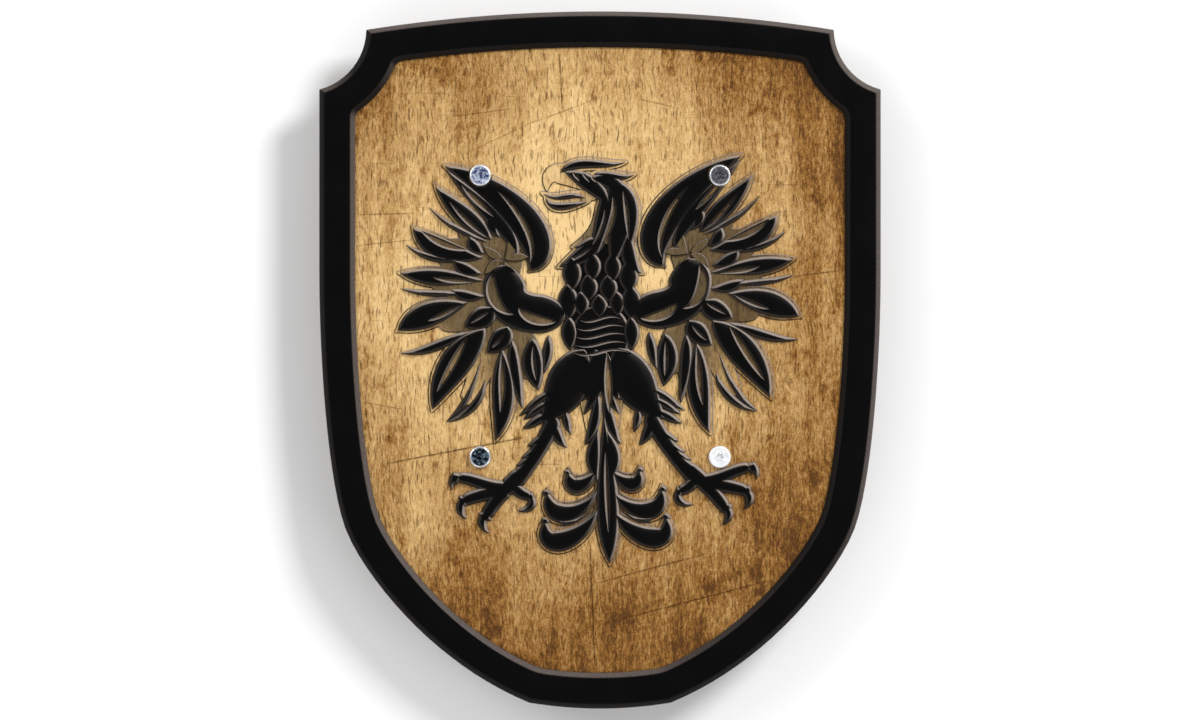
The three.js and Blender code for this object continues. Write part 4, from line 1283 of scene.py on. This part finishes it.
class SHIELD_OT_make_straps(bpy.types.Operator):
    """Make the two leather straps with rounded ends, stitch channels and bolt holes"""

    bl_idname = "shield.make_straps"
    bl_label = "Make Straps"

    def execute(self, context):
        sizes = context.scene.shield_sizes
        for node in ("arm_strap", "hand_strap"):
            low, high = node_box(node)
            path = StrapPath(low, high)
            half_width = (high.x - low.x) / 2
            reach = path.lengths[-1]
            channel = half_width - STITCHES_FROM_EDGE

            strap = bmesh.new()
            bmesh.ops.create_grid(strap, x_segments=1, y_segments=1, size=1,
                                  matrix=Matrix.Diagonal((half_width, reach, 1, 1)))
            bmesh.ops.bevel(strap, geom=strap.verts[:], offset=sizes.strap_corner / MM,
                            affect="VERTICES", offset_type="OFFSET", segments=6, profile=0.5,
                            material=-1)
            raised(placed(strap, 0, 0, -STRAP_HALF_THICK), 2 * STRAP_HALF_THICK)
            arrises = [edge for edge in strap.edges if edge.calc_face_angle(0) > math.radians(60)
                       and abs(edge.verts[0].co.z - edge.verts[1].co.z) < 0.01]
            bevelled(strap, arrises, ARRIS, 2)
            bolt_at = reach - BOLT_FROM_END
            holes = [placed(peg(BOLT_HOLE_RADIUS, -3, 3, HOLE_STEPS), 0, side * bolt_at)
                     for side in (-1, 1)]
            strap = carved(strap, "DIFFERENCE", holes)

            count = math.floor((reach - CROSS_CUTS_FROM_END) / CROSS_CUT_SPACING)
            cuts = [((side * (channel + shift), 0, 0), (1, 0, 0)) for side in (-1, 1)
                    for shift in (-CHANNEL_HALF_WIDTH, 0, CHANNEL_HALF_WIDTH)]
            cuts += [((0, side * CROSS_CUT_SPACING * i, 0), (0, 1, 0)) for side in (-1, 1)
                     for i in range(1, count)]
            for point, facing in cuts:
                bmesh.ops.bisect_plane(
                    strap, geom=strap.verts[:] + strap.edges[:] + strap.faces[:],
                    dist=0.0001, plane_co=point, plane_no=facing)
            for vert in strap.verts:
                on_line = abs(abs(vert.co.x) - channel) < 0.01
                if on_line and abs(vert.co.z) > STRAP_HALF_THICK - 0.1:
                    vert.co.z -= math.copysign(CHANNEL_DEPTH, vert.co.z)
            path.bend(strap)
            bmesh.ops.recalc_face_normals(strap, faces=strap.faces)
            finished(strap, "leather_" + node, [node], [FINISHES["leather"]], 50)

            thread = bmesh.new()
            pitch = sizes.stitch_pitch / MM
            stitches = math.floor((reach - STITCHES_FROM_END) / pitch)
            spots = [(side * channel, i * pitch, face * STITCH_HEIGHT)
                     for i in range(-stitches, stitches + 1)
                     for side in (-1, 1) for face in (-1, 1)]
            for spot in spots:
                bmesh.ops.create_uvsphere(
                    thread, u_segments=8, v_segments=6, radius=1,
                    matrix=Matrix.Translation(spot) @ Matrix.Diagonal((*STITCH_SIZE, 1)))
            path.bend(thread)
            bmesh.ops.recalc_face_normals(thread, faces=thread.faces)
            finished(thread, node + "_stitching", [], [FINISHES["thread"]], 80)
        return {"FINISHED"}


class SHIELD_OT_make_stage(bpy.types.Operator):
    """Set the pale floor, the soft lights and the camera above the lying shield"""

    bl_idname = "shield.make_stage"
    bl_label = "Make Stage"

    def execute(self, context):
        scene = context.scene
        floor_mesh = bmesh.new()
        bmesh.ops.create_grid(floor_mesh, x_segments=2, y_segments=2, size=8)
        material, tree, shader, place, _ = new_material("studio_floor", Specular_IOR_Level=0.1)
        soft = noise(tree, mapped(tree, place, (0.004, 0.004, 0.004)), detail=2)
        pale = scene.shield_colours.floor
        surfaced(tree, shader, ramp(tree, soft, [(0.3, shaded(pale, 0.98)), (0.7, pale)]),
                 ranged(tree, soft, 0.3, 0.7, 0.8, 0.9), soft, 0.00001)
        mesh = mesh_of(floor_mesh, "studio_floor", [material])
        floor = bpy.data.objects.new("studio_floor", mesh)
        scene.collection.objects.link(floor)

        world = bpy.data.worlds.new("studio")
        world.use_nodes = True
        scene.world = world
        tree = world.node_tree
        lit = tree.nodes["Background"]
        lit.inputs["Color"].default_value = (1, 1, 1, 1)
        lit.inputs["Strength"].default_value = 0.5
        seen = add_node(tree, "ShaderNodeBackground", {"Color": (1, 1, 1, 1), "Strength": 1.0})
        path = tree.nodes.new("ShaderNodeLightPath")
        choice = add_node(tree, "ShaderNodeMixShader", {
            0: path.outputs["Is Camera Ray"], 1: lit.outputs[0], 2: seen.outputs[0]})
        tree.links.new(choice.outputs[0], tree.nodes["World Output"].inputs["Surface"])

        for name, spot, size, power in LIGHTS:
            light = bpy.data.lights.new(name, "AREA")
            light.shape = "DISK"
            light.size = size
            light.energy = power
            lamp = bpy.data.objects.new(name, light)
            lamp.location = spot
            lamp.rotation_euler = (-Vector(spot)).to_track_quat("-Z", "Y").to_euler()
            scene.collection.objects.link(lamp)

        camera = bpy.data.cameras.new("camera")
        camera.sensor_width = 36
        shown_width = VIEW_WIDTH * 2 * HALF_HEIGHT * MM
        camera.lens = camera.sensor_width * (CAMERA_HEIGHT - RIM_TOP_Z * MM) / shown_width
        camera.clip_end = 50
        holder = bpy.data.objects.new("camera", camera)
        holder.location = (0, 0, CAMERA_HEIGHT)
        scene.collection.objects.link(holder)
        scene.camera = holder
        scene.view_settings.view_transform = "Standard"
        return {"FINISHED"}


class SHIELD_PT_pieces(bpy.types.Panel):
    """Lists the pieces of the shield"""

    bl_idname = "SHIELD_PT_pieces"
    bl_label = "Toy Heater Shield"
    bl_space_type = "VIEW_3D"
    bl_region_type = "UI"
    bl_category = "Shield"

    def draw(self, context):
        layout = self.layout
        for operator in OPERATORS:
            layout.operator(operator.bl_idname)
        for group in (context.scene.shield_sizes, context.scene.shield_colours):
            for name in group.__annotations__:
                layout.prop(group, name)


OPERATORS = (
    SHIELD_OT_make_finishes,
    SHIELD_OT_make_rim,
    SHIELD_OT_make_board,
    SHIELD_OT_make_eagle,
    SHIELD_OT_make_bolts,
    SHIELD_OT_make_washers_and_nuts,
    SHIELD_OT_make_straps,
    SHIELD_OT_make_stage,
)
CLASSES = (ShieldSizes, ShieldColours, *OPERATORS, SHIELD_PT_pieces)


def register():
    for cls in CLASSES:
        bpy.utils.register_class(cls)
    bpy.types.Scene.shield_sizes = PointerProperty(type=ShieldSizes)
    bpy.types.Scene.shield_colours = PointerProperty(type=ShieldColours)


def unregister():
    del bpy.types.Scene.shield_colours
    del bpy.types.Scene.shield_sizes
    for cls in reversed(CLASSES):
        bpy.utils.unregister_class(cls)


def main():
    register()
    bpy.ops.shield.make_finishes()
    bpy.ops.shield.make_rim()
    bpy.ops.shield.make_board()
    bpy.ops.shield.make_eagle()
    bpy.ops.shield.make_bolts()
    bpy.ops.shield.make_washers_and_nuts()
    bpy.ops.shield.make_straps()
    bpy.ops.shield.make_stage()


if __name__ == "__main__":
    main()
